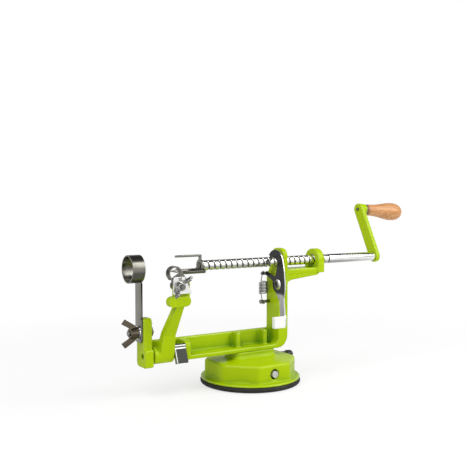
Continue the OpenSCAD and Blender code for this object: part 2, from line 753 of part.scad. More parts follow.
// Crank arm with a boss at the handle end
module crank_arm() color(lime) translate([0, 0, axis_h]) on_crank() difference() {
  union() {
    plate_x(crank_x0, crank_x1) {
      for (z = [0, crank_r]) translate([0, z]) circle(d = crank_w);
      translate([-crank_w / 2, 0]) square([crank_w, crank_r]);
    }
    translate([crank_x0, 0, crank_r]) rotate([0, grip_lean, 0]) rod_x(2, crank_t + crank_boss, crank_w / 2);
  }
  rod_x(crank_x0 - 1, crank_x1 + 1, spigot_r);
  translate([crank_x0, 0, crank_r]) rotate([0, grip_lean, 0])
    rod_x(-2, crank_t + crank_boss + 1, rivet_d / 2);
  rod_y(-pin_reach, crank_w, crank_pin_d / 2, crank_x0 + crank_t / 2);
}

module crank_pin() color(steel) translate([0, 0, axis_h]) on_crank()
  rod_y(-pin_reach + run, crank_w / 2 - 0.3, crank_pin_d / 2, crank_x0 + crank_t / 2);

// Handle: riveted spindle, washer and turned wooden grip
module on_handle() translate([0, 0, axis_h]) on_crank() translate([crank_x0, 0, crank_r])
  rotate([0, grip_lean, 0]) translate([-crank_x0, 0, 0]) children();

module handle_spindle() color(steel) on_handle() {
  rod_x(crank_x0 - rivet_t, crank_x1 + crank_boss + 1, rivet_d / 2);
  rod_x(crank_x1 + crank_boss, grip_x1 - grip_recess + 1, spindle_d / 2);
  rod_x(grip_x1 - grip_recess + gap, grip_x1 - grip_recess + 2.4, spindle_d / 2 + 1.6);
}

module handle_washer() color(steel) on_handle() difference() {
  rod_x(crank_x1 + crank_boss, crank_x1 + crank_boss + washer_t, crank_w / 2 - 0.4);
  rod_x(crank_x1, grip_x0, spindle_d / 2 + run);
}

// Radius of the grip at a part t of its length: neck, swelling, blunt end
function swell(s) = s * s * (3 - 2 * s);
function grip_radius(t) =
  t < 0.1 ? grip_neck_d / 2 - 0.5 + 5 * t :
  t < 0.74 ? grip_neck_d / 2 + (grip_d - grip_neck_d) / 2 * swell(pow((t - 0.1) / 0.64, 1.25)) :
  grip_d / 2 * sqrt(1 - pow((t - 0.74) / 0.3, 2.6));

module handle_grip() color(wood) on_handle() difference() {
  translate([grip_x0, 0, 0]) rotate([0, 90, 0]) rotate_extrude()
    polygon(concat([[0, 0]], [for (i = [0:24]) [grip_radius(i / 24), grip_l * i / 24]], [[0, grip_l]]));
  rod_x(grip_x0 - 1, grip_x1 + 1, spindle_d / 2 + run);
  rod_x(grip_x1 - grip_recess, grip_x1 + 1, spindle_d / 2 + 2);
}

// Release lever: plate with hub, hook over the screw, tail and thumb tab, spring ear
module hook_outline() translate([0, axis_h]) difference() {
  translate([-hook_off, 0]) circle(hook_out);
  circle(hook_in);
  polygon([[2 * hook_out, hook_out], [0.32 * hook_in, 1.2 * hook_in], [0, 1.03 * hook_in],
    [-hook_in, 0.9 * hook_in], [-hook_off - 0.5, 0.66 * hook_in], [-hook_out - 0.2, 0],
    [-hook_out + 1.4, -hook_out / 2], [-hook_off, -2 * hook_out], [2 * hook_out, -2 * hook_out]]);
}

module lever_outline() {
  hub = lever_hub_r;
  tab_edge = -tab_out - plate_t / 2;
  hook_outline();
  translate([pivot_y, pivot_z]) {
    circle(lever_hub_r);
    polygon([[-0.78 * hub, pivot_drop + 0.44 * hub], [-1.08 * hub, 0.66 * pivot_drop],
      [-1.24 * hub, 0.16 * hub], [-1.22 * hub, -0.57 * hub], [-1.03 * hub, -0.4 * tail_l],
      [-1.24 * hub, -0.94 * tail_l], [tab_edge, -tail_l], [tab_edge, -tail_l - tab_h],
      [-0.67 * hub, -tail_l - tab_h], [-0.46 * hub, -tail_l], [-0.29 * hub, -0.51 * tail_l],
      [0.4 * hub, -0.89 * hub], [0.89 * hub, 0.11 * hub], [0.56 * hub, 0.8 * hub],
      [0.38 * hub, 0.51 * pivot_drop], [0.1 * hub, pivot_drop - 2]]);
    polygon([[0.33 * hub, 0.06 * hub], [ear_out, ear_rise - ear_r], [ear_out, ear_rise + ear_r],
      [0.33 * hub, 0.72 * hub]]);
    translate([ear_out, ear_rise]) circle(ear_r);
  }
}

module release_lever() color(steel) difference() {
  union() {
    plate_x(lever_x0, lever_x1) lever_outline();
    plate_x((lever_x0 + lever_x1 - tooth_t) / 2, (lever_x0 + lever_x1 + tooth_t) / 2)
      translate([0, axis_h]) intersection() {
        difference() {
          circle(hook_in + 1);
          circle(tooth_reach);
        }
        polygon([[0, 0], [-3, 10], [3, 10]]);
      }
    block([lever_x1 - tab_l, tab_y - plate_t / 2, tab_z - tab_h], [lever_x1, tab_y + plate_t / 2, tab_z]);
    rod_x(spring_x - peg_end, lever_x1, peg_r, ear_y, ear_z);
  }
  rod_x(lever_x0 - 1, lever_x1 + 1, pivot_d / 2 + run, pivot_y, pivot_z);
}

module thumb_cap() color(white) difference() {
  block([lever_x1 - tab_l - cap_wall, tab_y - plate_t / 2 - cap_wall, tab_z - tab_h - cap_wall],
    [lever_x0 - gap, tab_y + plate_t / 2 + cap_wall, tab_z + cap_wall]);
  block([lever_x1 - tab_l - run, tab_y - plate_t / 2 - run, tab_z - tab_h - run],
    [lever_x0, tab_y + plate_t / 2 + run, tab_z + run]);
}

module lever_screw() color(chrome) translate([0, pivot_y, pivot_z]) difference() {
  union() {
    rod_x(lever_x0 - 1, post_x + pivot_ear_t, pivot_d / 2);
    translate([lever_x0 - run, 0, 0]) rotate([0, -90, 0]) rotate_extrude() intersection() {
      square([pivot_head_r, pivot_head_t]);
      translate([0, pivot_head_t - 6.6]) circle(6.6);
    }
  }
  rod_x(lever_x0 - pivot_head_t - 1, lever_x0 - pivot_head_t + 1.4, pivot_head_r / 2);
}

module lever_washer() color(steel) translate([0, pivot_y, pivot_z]) difference() {
  rod_x(lever_x1 + run, post_x, pivot_ear_r - 0.5);
  rod_x(lever_x1 - 1, post_x + 1, pivot_d / 2 + run);
}

module release_spring() color(chrome) tube(spring_path, spring_wire / 2);

module spring_peg() color(steel) {
  rod_x(spring_x - peg_end, post_x + peg_depth, peg_r, spring_y, peg_z);
  rod_x(spring_x - peg_end - peg_head_t, spring_x - peg_end, peg_head_r, spring_y, peg_z);
}

// Peeling arm: hub, bent bar, cross head and blade seat
module peel_arm() color(lime) difference() {
  union() {
    rod_x(hub_x0, arm_x1, hub_r, arm_pivot_y, arm_pivot_z);
    difference() {
      plate_x(arm_x0, arm_x1) polygon([[arm_pivot_y - hub_r, arm_pivot_z], [knee_y, knee_z],
        [head_y - 0.5, head_z - head_h / 2], [head_y - 0.5, head_z], [head_y + head_t / 2, head_z],
        [head_y + head_t / 2 + 2, head_z - 1], [knee_y + arm_t - 1, knee_z + 3.6],
        [arm_pivot_y, arm_pivot_z + hub_r - 0.5], [arm_pivot_y, arm_pivot_z]]);
      plate_y(2 * head_y, -head_y) polygon([[arm_x0 - 1, arm_pivot_z + hub_r],
        [arm_x0, arm_pivot_z + hub_r], [arm_x0 + arm_taper, head_z - head_h / 2],
        [arm_x0 + arm_taper, head_z + head_h / 2], [arm_x0 - 1, head_z + head_h / 2]]);
    }
    plate_y(head_y - head_t / 2, head_y + head_t / 2) rounded_flat([arm_x - head_w * 0.45,
      head_z - head_h / 2], [arm_x + head_w * 0.55, head_z + head_h / 2], head_h / 2 - 0.1);
    plate_y(seat_y, seat_y + seat_t)
      rounded_flat([seat_x0, head_z], [seat_x1, seat_top], 2);
  }
  rod_x(hub_x0 - 1, arm_x1 + 1, pin_d / 2 + run, arm_pivot_y, arm_pivot_z);
  rod_y(seat_y - 1, seat_y + seat_t + 1, clamp_bolt_d / 2, clamp_x, clamp_z);
}

module arm_pivot_pin() color(steel)
  rod_x(pin_x0, pin_x1, pin_d / 2, arm_pivot_y, arm_pivot_z);

module pin_clip() color(steel) translate([0, arm_pivot_y, arm_pivot_z]) difference() {
  rod_x(clip_x, clip_x + clip_t, clip_r);
  rod_x(clip_x - 1, clip_x + clip_t + 1, pin_d / 2);
  block([clip_x - 1, -clip_slot / 2, 0], [clip_x + clip_t + 1, clip_slot / 2, pin_d]);
}

module arm_spring() color(steel) tube(torsion_path, torsion_wire / 2);

// Latch beside the arm, tilted outwards: two cheeks on the pin, a lipped front plate with a rolled top
module arm_latch() color(chrome) translate([0, arm_pivot_y, arm_pivot_z]) rotate([-latch_tilt, 0, 0])
  difference() {
    union() {
      for (x = [latch_x0, latch_x1 - latch_t]) plate_x(x, x + latch_t) {
        circle(latch_r);
        translate([latch_t / 2 - latch_out, -latch_r])
          square([latch_out - latch_t / 2, latch_r + latch_top / 2]);
        translate([latch_t / 2 - latch_out, latch_foot]) square([latch_lip, latch_top - latch_foot]);
      }
      block([latch_x0, -latch_out, latch_foot], [latch_x1, latch_t - latch_out, latch_top]);
      rod_x(latch_x0, latch_x1, latch_roll_r, latch_roll_y, latch_top);
    }
    rod_x(latch_x0 - 1, latch_x1 + 1, pin_d / 2 + run);
  }

// Peeling blade: slotted tang and a hoop, both leaning towards the slicer
module on_hoop() translate([hoop_x, 0, hoop_z]) rotate([0, -hoop_lean, 0]) children();

module peel_blade() color(steel) on_hoop() difference() {
  union() {
    plate_y(tang_y, tang_y + strip_w) difference() {
      union() {
        circle(hoop_r);
        translate([-hoop_r, -hoop_leg]) square([hoop_w, hoop_leg]);
      }
      circle(hoop_r - hoop_t);
      translate([-hoop_r + hoop_t, -hoop_w]) square([hoop_w - 2 * hoop_t, hoop_w]);
      translate([-hoop_w, -hoop_w]) square([2 * hoop_w, hoop_w - hoop_leg]);
    }
    plate_y(tang_y, tang_y + hoop_t) polygon([[-hoop_r, -hoop_leg / 2], [hoop_r, -hoop_leg / 2],
      [hoop_r, -tang_l], [tang_p, -tang_l], [tang_p, -tang_neck], [-hoop_r, -hoop_leg]]);
  }
  plate_y(tang_y - 1, tang_y + hoop_t + 1) {
    for (l = [-1, 1] * blade_play) translate([slot_p, slot_l + l]) circle(slot_r);
    translate([slot_p - slot_r, slot_l - blade_play]) square([2 * slot_r, 2 * blade_play]);
  }
}

module blade_clamp() color(chrome) difference() {
  plate_y(clamp_y, clamp_y + clamp_t) polygon([[clamp_x0, head_z + 7], [seat_x1, head_z + 7],
    [seat_x1, head_z + 8], [seat_x1 - 7, clamp_top], [clamp_x0 + 1, clamp_top], [clamp_x0, clamp_top - 1]]);
  rod_y(clamp_y - 1, clamp_y + clamp_t + 1, clamp_bolt_d / 2 + run, clamp_x, clamp_z);
}

module clamp_bolt() color(steel) {
  rod_y(clamp_y - gap - clamp_nut_l - 1.6, seat_y + seat_t + 0.1, clamp_bolt_d / 2, clamp_x, clamp_z);
  rod_y(seat_y + seat_t, seat_y + seat_t + 2.4, clamp_bolt_d, clamp_x, clamp_z);
}

// Wing nut on the Z axis: round hub and two flared wings along X
module wing_nut(hub_r, hub_l, bore, reach, span, t) difference() {
  union() {
    cylinder(h = hub_l, r1 = hub_r, r2 = hub_r * 0.8);
    for (s = [0, 180]) rotate(s) translate([0, t / 2, 0]) rotate([90, 0, 0]) linear_extrude(t)
      polygon([[0.2 * span, 0.08 * reach], [0.52 * span, 0.12 * reach], [span, 0.78 * reach],
        [0.68 * span, reach], [0.34 * span, 0.48 * reach], [0.2 * span, 0.45 * reach]]);
  }
  translate([0, 0, -1]) cylinder(h = reach + 2, r = bore);
}

module clamp_wing_nut() color(chrome) translate([clamp_x, clamp_y - gap, clamp_z])
  rotate([0, -clamp_nut_turn, 0]) rotate([90, 0, 0])
  wing_nut(clamp_nut_r, clamp_nut_l, clamp_bolt_d / 2 + run, wing_l * 0.72, wing_r * 0.95, wing_t * 0.9);

// Slicer: strip with a ground edge, and the coring ring on the screw axis
module slicer_blade() color(steel) difference() {
  union() {
    plate_x(slicer_x0, slicer_x1) {
      translate([-slicer_w / 2, slicer_bolt_h])
        square([slicer_w, axis_h - corer_r + 0.9 - slicer_bolt_h]);
      rounded_flat([-slicer_w / 2, slicer_bolt_h - slicer_foot], [slicer_w / 2, slicer_bolt_h + 9], 3);
    }
    rod_x(slicer_x1 - corer_l, slicer_x1, corer_r, 0, axis_h);
  }
  rod_x(slicer_x1 - corer_l - 1, slicer_x1 + 1, corer_r - corer_wall, 0, axis_h);
  rod_x(slicer_x0 - 1, slicer_x1 + 1, slicer_bolt_d / 2 + run, 0, slicer_bolt_h);
  translate([0, 0, slicer_bolt_h + 12]) linear_extrude(axis_h - corer_r - slicer_bolt_h - 13)
    polygon([[slicer_x0 - 1, -slicer_w / 2 - 1], [slicer_x1 - edge_t, -slicer_w / 2 - 1],
      [slicer_x1 - edge_t, -slicer_w / 2], [slicer_x0, edge_w - slicer_w / 2],
      [slicer_x0 - 1, edge_w - slicer_w / 2]]);
}

module slicer_bolt() color(steel) {
  rod_x(wing_face - wing_hub_l - 1.5, lug_back + 0.1, slicer_bolt_d / 2, 0, slicer_bolt_h);
  plate_x(lug_back, lug_back + 3) translate([0, slicer_bolt_h]) hex_flat(8);
}

module slicer_washer() color(chrome) translate([0, 0, slicer_bolt_h]) difference() {
  rod_x(slicer_x0 - slicer_washer_t, slicer_x0, slicer_w / 2);
  rod_x(slicer_x0 - 2, slicer_x0 + 1, slicer_bolt_d / 2 + run);
}

module slicer_wing_nut() color(steel) translate([wing_face, 0, slicer_bolt_h]) rotate([0, -90, 0])
  wing_nut(wing_hub_r, wing_hub_l, slicer_bolt_d / 2 + run, wing_l, wing_r, wing_t);

frame();
base_cover();
suction_pad();
suction_stud();
cam_shaft();
suction_lever();
lever_grip();
base_screws();
base_washers();
feed_screw();
fork();
shaft_sleeve();
crank_arm();
crank_pin();
handle_spindle();
handle_washer();
handle_grip();
release_lever();
thumb_cap();
lever_screw();
lever_washer();
release_spring();
spring_peg();
peel_arm();
arm_pivot_pin();
pin_clip();
arm_spring();
arm_latch();
peel_blade();
blade_clamp();
clamp_bolt();
clamp_wing_nut();
slicer_blade();
slicer_bolt();
slicer_washer();
slicer_wing_nut();
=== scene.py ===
"""Hand-cranked apple peeler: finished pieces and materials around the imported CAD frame."""
import json
import math

import bmesh
import bpy
from bpy.props import FloatProperty, FloatVectorProperty, IntProperty, PointerProperty
from mathutils import Euler, Matrix, Vector


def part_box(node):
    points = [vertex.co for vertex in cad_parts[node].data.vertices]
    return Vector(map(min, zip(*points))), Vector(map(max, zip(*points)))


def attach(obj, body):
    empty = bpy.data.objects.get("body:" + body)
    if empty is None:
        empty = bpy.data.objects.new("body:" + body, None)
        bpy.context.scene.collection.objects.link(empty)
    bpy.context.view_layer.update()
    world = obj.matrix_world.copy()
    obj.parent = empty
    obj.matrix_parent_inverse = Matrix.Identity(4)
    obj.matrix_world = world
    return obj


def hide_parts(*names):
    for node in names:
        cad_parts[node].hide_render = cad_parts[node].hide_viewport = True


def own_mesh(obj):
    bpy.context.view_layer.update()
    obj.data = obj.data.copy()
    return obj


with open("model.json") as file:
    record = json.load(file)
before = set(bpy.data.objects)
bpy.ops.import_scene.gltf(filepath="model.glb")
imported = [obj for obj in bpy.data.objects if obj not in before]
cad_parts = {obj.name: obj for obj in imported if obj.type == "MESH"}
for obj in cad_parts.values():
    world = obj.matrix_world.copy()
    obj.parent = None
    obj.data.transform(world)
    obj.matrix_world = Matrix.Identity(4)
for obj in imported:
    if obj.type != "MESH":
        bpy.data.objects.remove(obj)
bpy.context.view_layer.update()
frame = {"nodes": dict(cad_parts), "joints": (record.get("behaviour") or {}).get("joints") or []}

bl_info = {
    "name": "Apple peeler",
    "version": (1, 0, 0),
    "blender": (4, 5, 0),
    "location": "3D View > Sidebar > Peeler",
    "description": "Builds the finished pieces of a hand-cranked apple peeler",
    "category": "Object",
}

MM = 0.001
TURN = 2 * math.pi

# Places that several pieces share, read from the frame
JOINTS = {joint["name"]: joint for joint in frame["joints"]}
SLEEVE_LOW, SLEEVE_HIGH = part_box("shaft_sleeve")
AXIS_H = (SLEEVE_LOW.z + SLEEVE_HIGH.z) / 2
CREST_R = (SLEEVE_HIGH.z - SLEEVE_LOW.z) / 2
LEVER_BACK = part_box("release_lever")[1].x
LEVER_SHEET = 2 * MM
LEVER_PIVOT = Vector(JOINTS["lever_release"]["pos_m"])


def linear(red, green, blue):
    """A colour written as eight-bit screen values, as linear light."""
    def channel(value):
        value /= 255
        return value / 12.92 if value <= 0.04045 else ((value + 0.055) / 1.055) ** 2.4
    return tuple(channel(value) for value in (red, green, blue))


def dimmed(colour, share):
    """A colour whose channels are all multiplied by one share."""
    return tuple(share * value for value in colour)


# Settings


def colour_property(name, description, *screen):
    """A colour setting whose default is given as screen values."""
    return FloatVectorProperty(name=name, description=description, subtype="COLOR", size=3,
                               min=0, max=1, default=linear(*screen))


def length_property(name, description, millimetres):
    """A length setting whose default is given in millimetres."""
    return FloatProperty(name=name, description=description, unit="LENGTH", subtype="DISTANCE",
                         default=millimetres * MM, precision=5)


def level_property(name, description, default, unit="NONE"):
    """A setting that can't be negative."""
    return FloatProperty(name=name, description=description, default=default, min=0, unit=unit)


class PeelerColours(bpy.types.PropertyGroup):
    """Colours of the finishes."""
    lime: colour_property("Lime enamel", "Paint on the castings", 171, 198, 5)
    # Painted shade: the colour laid into corners and recesses of the castings, also used for dark
    # specks
    lime_shade_and_speck: colour_property("Lime painted shade and specks", "Painted shade in corners and recesses, and dark specks", 88, 148, 24)
    chrome: colour_property("Chrome", "Plating of screw, sleeve and clamp", 238, 238, 236)
    # Painted shade for the root of the feed screw's thread
    groove: colour_property("Painted groove shade", "Painted shade at the thread's root", 104, 102, 92)
    steel: colour_property("Steel", "Blades, pins and small hardware", 142, 140, 132)
    # Painted reflection: the release lever is painted dark on its hub and hook and light grey below
    # them; the dark colour is also the painted shade in the pivot screw's socket
    dark_reflection_and_shade: colour_property("Painted dark reflection and shade", "Hub and hook of the release lever", 70, 69, 70)
    tail: colour_property("Painted light reflection", "Tail of the release lever", 196, 196, 194)
    # Painted reflection: the slicer's wing nut is tinted brown for warm surroundings that it
    # mirrors
    bronzed: colour_property("Painted brown reflection", "Slicer's wing nut", 118, 108, 92)
    # Painted reflection: the latch's plating is darkened for the dark surroundings that it mirrors
    latch: colour_property("Latch plate", "Latch plating darkened as a painted reflection", 52, 54, 50)
    wire: colour_property("Spring wire", "Both springs", 150, 152, 146)
    nut: colour_property("Clamp nut", "Wing nut of the blade clamp", 186, 187, 184)
    rubber: colour_property("Rubber", "Suction pad", 38, 38, 34)
    wood_light: colour_property("Light wood", "Pale growth of the grip's wood", 218, 158, 98)
    wood_dark: colour_property("Dark wood", "Grain lines of the grip's wood", 158, 92, 36)
    cap: colour_property("Thumb cap", "White cap on the release lever", 248, 248, 246)
    black: colour_property("Black plastic", "Grip of the suction lever", 30, 30, 30)


class PeelerSizes(bpy.types.PropertyGroup):
    """Sizes of the finishing work."""
    cast_grain: length_property("Casting mesh", "Faces that round the castings", 0.75)
    arm_grain: length_property("Arm mesh", "Faces that round the peeling arm", 0.36)
    nut_grain: length_property("Wing nut mesh", "Faces that round the wing nuts", 0.3)
    sheet_grain: length_property("Sheet mesh", "Faces that round lever, latch and fork", 0.28)
    cast_passes: IntProperty(name="Casting rounding", default=5, min=1, max=20,
                             description="Smoothing passes on the castings")
    sheet_bevel: length_property("Sheet edges", "Bevel on the edges of sheet metal", 0.18)
    turned_bevel: length_property("Turned edges", "Bevel on pins, washers and bolts", 0.25)
    knob_bevel: length_property("Knob edges", "Rounding of the suction lever's grip", 0.8)
    cap_bevel: length_property("Cap edges", "Rounding of the white thumb cap", 0.9)
    pitch: length_property("Thread pitch", "Lead of the feed screw", 6.35)
    groove_depth: length_property("Groove depth", "Depth of the feed screw's groove", 1.15)
    groove_width: length_property("Groove width", "Width of the groove at the crest", 2.2)
    fork_sheet: length_property("Fork sheet", "Thickness of the fork's plate and prongs", 2)
    fork_hub: length_property("Fork hub", "Diameter of the fork's middle plate", 12)
    prong_width: length_property("Prong width", "Width of each prong", 3)
    lever_pivot: length_property("Lever pivot", "Diameter of the lever's pivot screw", 5)
    spring_wire: length_property("Return spring wire", "Wire of the lever's spring", 1.0)
    spring_turns: IntProperty(name="Return spring curls", default=8, min=1, max=20,
                              description="Curls of the lever's spring")
    torsion_wire: length_property("Arm spring wire", "Wire of the peeling arm's spring", 1.2)
    grip_neck: length_property("Grip neck", "Diameter of the wooden grip's neck", 12.8)
    grip_swell: length_property("Grip swelling", "Largest diameter of the wooden grip", 20)


class PeelerStage(bpy.types.PropertyGroup):
    """Camera and light."""
    lens: level_property("Lens", "Focal length on a 36 mm sensor", 56.33, "CAMERA")
    camera_place: FloatVectorProperty(name="Camera place", description="Where the camera stands",
                                      subtype="TRANSLATION", unit="LENGTH", size=3,
                                      default=(-0.39854, -0.59679, 0.17858))
    camera_turn: FloatProperty(name="Camera turn", description="Turn of the camera to the right",
                               subtype="ANGLE", default=math.radians(32.38))
    camera_dip: FloatProperty(name="Camera dip", description="How far the camera looks down",
                              subtype="ANGLE", default=math.radians(2.52))
    key_power: level_property("Key light", "Power of the large soft light", 8.8, "POWER")
    fill_power: level_property("Fill light", "Power of the light on the left", 8.0, "POWER")
    sky_level: level_property("Sky level", "Strength of the all-round light", 0.45)


# Nodes


class Link:
    """A node's output socket that takes part in Python arithmetic on values."""

    def __init__(self, tree, socket):
        self.tree, self.socket = tree, socket

    @staticmethod
    def node(tree, kind, inputs=None, output=0, **settings):
        """Adds a node: its settings first, then the values or links of its sockets."""
        node = tree.nodes.new(kind)
        for name, value in settings.items():
            setattr(node, name, value)
        for name, value in (inputs or {}).items():
            socket = node.inputs[name]
            if isinstance(value, Link):
                tree.links.new(value.socket, socket)
            else:
                socket.default_value = value
        return Link(tree, node.outputs[output])

    def math(self, operation, *values, clamp=False):
        """A Math node on this value and others."""
        return Link.node(self.tree, "ShaderNodeMath", dict(enumerate((self, *values))),
                         operation=operation, use_clamp=clamp)

    def flipped(self, operation, value):
        """A Math node with the plain number first."""
        return Link.node(self.tree, "ShaderNodeMath", {0: value, 1: self}, operation=operation)

    def __add__(self, value): return self.math("ADD", value)
    def __radd__(self, value): return self.flipped("ADD", value)
    def __sub__(self, value): return self.math("SUBTRACT", value)
    def __rsub__(self, value): return self.flipped("SUBTRACT", value)
    def __mul__(self, value): return self.math("MULTIPLY", value)
    def __rmul__(self, value): return self.flipped("MULTIPLY", value)
    def __truediv__(self, value): return self.math("DIVIDE", value)
    def __rtruediv__(self, value): return self.flipped("DIVIDE", value)
    def __pow__(self, value): return self.math("POWER", value)
    def __gt__(self, value): return self.math("GREATER_THAN", value)
    def __lt__(self, value): return self.math("LESS_THAN", value)

    def part(self, index):
        """One coordinate of a vector."""
        return Link.node(self.tree, "ShaderNodeSeparateXYZ", {0: self}, output=index)

    def clamped(self):
        """The value held between 0 and 1."""
        return self.math("ADD", 0.0, clamp=True)

    def eased(self):
        """The value held between 0 and 1, with a soft start and end."""
        held = self.clamped()
        return held * held * (3 - 2 * held)

    def above(self, start, gain):
        """0 up to a start, then a straight climb to 1."""
        return ((self - start) * gain).clamped()

    def below(self, start, gain):
        """0 down to a start, then a straight climb to 1."""
        return ((start - self) * gain).clamped()

    def rise(self, start, width):
        """0 up to a start, and softly 1 from a width past it."""
        return ((self - start) / width).eased()

    def fall(self, end, width):
        """Softly from 1, a width before an end, to 0 at the end."""
        return ((end - self) / width).eased()


def mix_colour(factor, low, high):
    """A colour between two others."""
    low, high = (side if isinstance(side, Link) else (*side, 1) for side in (low, high))
    return Link.node(factor.tree, "ShaderNodeMix", {0: factor, 6: low, 7: high}, output=2,
                     data_type="RGBA")


# Materials

MATERIALS = {}


class Finish:
    """One material: its tree, its shader and the textures that feed it."""

    def __init__(self, name, **constants):
        self.material = bpy.data.materials.new(name)
        self.material.use_nodes = True
        self.tree = self.material.node_tree
        self.shader = self.tree.nodes["Principled BSDF"]
        for socket, value in constants.items():
            self.shader.inputs[socket.replace("_", " ")].default_value = value
        self.place = Link.node(self.tree, "ShaderNodeTexCoord", output=3)

    def stretched(self, scale, turn=(0, 0, 0)):
        """Object coordinates in metres, turned and multiplied along each axis."""
        return Link.node(self.tree, "ShaderNodeMapping",
                         {"Vector": self.place, "Scale": scale, "Rotation": turn})

    def noise(self, scale, detail=2.0, roughness=0.5, distortion=0.0, vector=None):
        """Noise between 0 and 1."""
        return Link.node(self.tree, "ShaderNodeTexNoise", {
            "Vector": vector or self.place, "Scale": scale, "Detail": detail,
            "Roughness": roughness, "Distortion": distortion})

    def cloud(self, scale, roughness=0.6):
        """Blotches between 0 and 1."""
        return self.noise(scale, 3, roughness)

    def lines(self, stretch, roughness=0.65):
        """Fine lines between 0 and 1, along the axis that is stretched least."""
        return self.noise(1, 4, roughness, vector=self.stretched(stretch))

    def axis(self, index):
        """One coordinate of the place, in metres."""
        return self.place.part(index)

    def radius(self, across, height):
        """Distance from a line along X, in metres."""
        y, z = self.axis(1) - across, self.axis(2) - height
        return (y * y + z * z) ** 0.5

    def pointiness(self):
        """Above a half on outer edges and below it in inner corners."""
        return Link.node(self.tree, "ShaderNodeNewGeometry", output=7)

    def occlusion_shade(self, reach):
        """Ambient occlusion of the same piece, used for painted shade: rises from 0 on open faces
        to 1 in deep recesses.
        """
        return 1 - Link.node(self.tree, "ShaderNodeAmbientOcclusion", {"Distance": reach}, output=1,
                             only_local=True, samples=8)

    def feed(self, socket, value):
        """Links a value to one of the shader's sockets."""
        self.tree.links.new(value.socket, self.shader.inputs[socket])

    def made(self, colour, roughness, height, strength, depth):
        """Links colour, roughness and a bump, and gives the material."""
        self.feed("Base Color", colour)
        self.feed("Roughness", roughness)
        self.feed("Normal", Link.node(self.tree, "ShaderNodeBump", {
            "Height": height, "Strength": strength, "Distance": depth}))
        return self.material


def lime_enamel(colours):
    """Glossy stoved enamel on a rough casting, with painted shade in corners and recesses, and
    glossiest on edges.
    """
    finish = Finish("lime_enamel", Coat_Roughness=0.1, Specular_IOR_Level=0.09)
    cloud, peel = finish.cloud(55), finish.noise(900, roughness=0.55)
    # Painted shade: inner corners and recesses are painted towards the shade colour, mixed with
    # random mottling
    corner = finish.pointiness().below(0.5, gain=9)
    edge = finish.pointiness().above(0.51, gain=30)
    painted_recess_shade = finish.occlusion_shade(10 * MM)
    deep = (corner * 0.4 + painted_recess_shade * 1.25 + (cloud - 0.5) * 0.4 - 0.1).clamped()
    paint = mix_colour(deep, colours.lime, colours.lime_shade_and_speck)
    speck = finish.noise(2600, detail=1).above(0.73, gain=8) * 0.25
    finish.feed("Coat Weight", 0.05 + edge * 0.9)
    return finish.made(mix_colour(speck, paint, colours.lime_shade_and_speck), 0.15 + cloud * 0.1,
                       peel, strength=0.12, depth=0.3 * MM)


def bright_chrome(colours):
    """Polished plating with faint clouding and hairlines."""
    finish = Finish("bright_chrome", Metallic=1.0)
    cloud, hair = finish.cloud(140), finish.lines((300, 2600, 2600), roughness=0.7)
    clouded = mix_colour(cloud.above(0.45, gain=1.6), colours.chrome, dimmed(colours.chrome, 0.72))
    return finish.made(clouded, 0.1 + cloud * 0.1 + hair * 0.06,
                       hair, strength=0.05, depth=0.1 * MM)


def screw_chrome(colours):
    """Plating of the feed screw, with painted shade at the root of the thread."""
    finish = Finish("screw_chrome", Metallic=1.0)
    cloud, grain = finish.cloud(160), finish.noise(1500)
    # Painted shade: the groove takes the dark groove colour, the crest chrome with random patches
    crest = finish.radius(0, AXIS_H).rise(CREST_R - 0.95 * MM, 0.75 * MM)
    bright_share = (crest * (0.86 + cloud * 0.28)).clamped()
    return finish.made(mix_colour(bright_share, colours.groove, colours.chrome),
                       0.34 - crest * 0.2 + cloud * 0.06, grain, strength=0.05, depth=0.1 * MM)


def brushed_steel(name, base, roughness, stretch):
    """Ground steel: fine lines along one axis and a few darker clouds."""
    finish = Finish(name, Metallic=1.0)
    lines, cloud = finish.lines(stretch), finish.cloud(90)
    shine = (lines * 0.55 + cloud * 0.75 - 0.25).clamped()
    return finish.made(mix_colour(shine, dimmed(base, 0.62), base),
                       roughness + lines * 0.16 - cloud * 0.05,
                       lines, strength=0.08, depth=0.15 * MM)


def lever_steel(colours):
    """The release lever: hub and hook painted dark and the lower part light grey as painted
    reflections, with painted highlights on its edges.
    """
    finish = Finish("release_lever_steel", Metallic=1.0)
    lines, cloud = finish.lines((700, 420, 60)), finish.cloud(120)
    ragged = finish.axis(2) - (cloud - 0.5) * 2 * MM
    # Painted reflection: dark above a line under the pivot, light grey below it
    tail = ragged.fall(LEVER_PIVOT.z - 8 * MM, 3 * MM)
    depth = LEVER_BACK - finish.axis(0)
    # Painted highlight: the plate's cut edges and its sharpest edges are made bright chrome
    rim = depth.fall(1.5 * MM, 0.3 * MM) * depth.rise(0.25 * MM, 0.25 * MM)
    bright_share = finish.pointiness().above(0.53, gain=14).math("MAXIMUM", rim)
    plate = mix_colour(tail, colours.dark_reflection_and_shade, colours.tail)
    stain = (cloud * 0.4 + lines * 0.3).clamped()
    stained = mix_colour(stain, plate, dimmed(colours.dark_reflection_and_shade, 0.5))
    return finish.made(mix_colour(bright_share, stained, colours.chrome), 0.3 - tail * 0.1 + lines * 0.1,
                       lines, strength=0.08, depth=0.15 * MM)


def bright_edged_plating(name, base, bright, highlight_mask=None):
    """Dulled plating that is brighter along its edges and where a mask says so; the latch's mask is
    a painted highlight.
    """
    finish = Finish(name, Metallic=1.0)
    cloud = finish.cloud(180, roughness=0.65)
    bright_share = ((finish.pointiness() - 0.525) * 16 + (cloud - 0.5) * 0.5).clamped()
    if highlight_mask:
        bright_share = bright_share.math("MAXIMUM", highlight_mask(finish))
    dull = mix_colour(cloud, dimmed(base, 0.7), base)
    return finish.made(mix_colour(bright_share, dull, bright), 0.26 - bright_share * 0.1 + cloud * 0.08,
                       cloud, strength=0.06, depth=0.2 * MM)


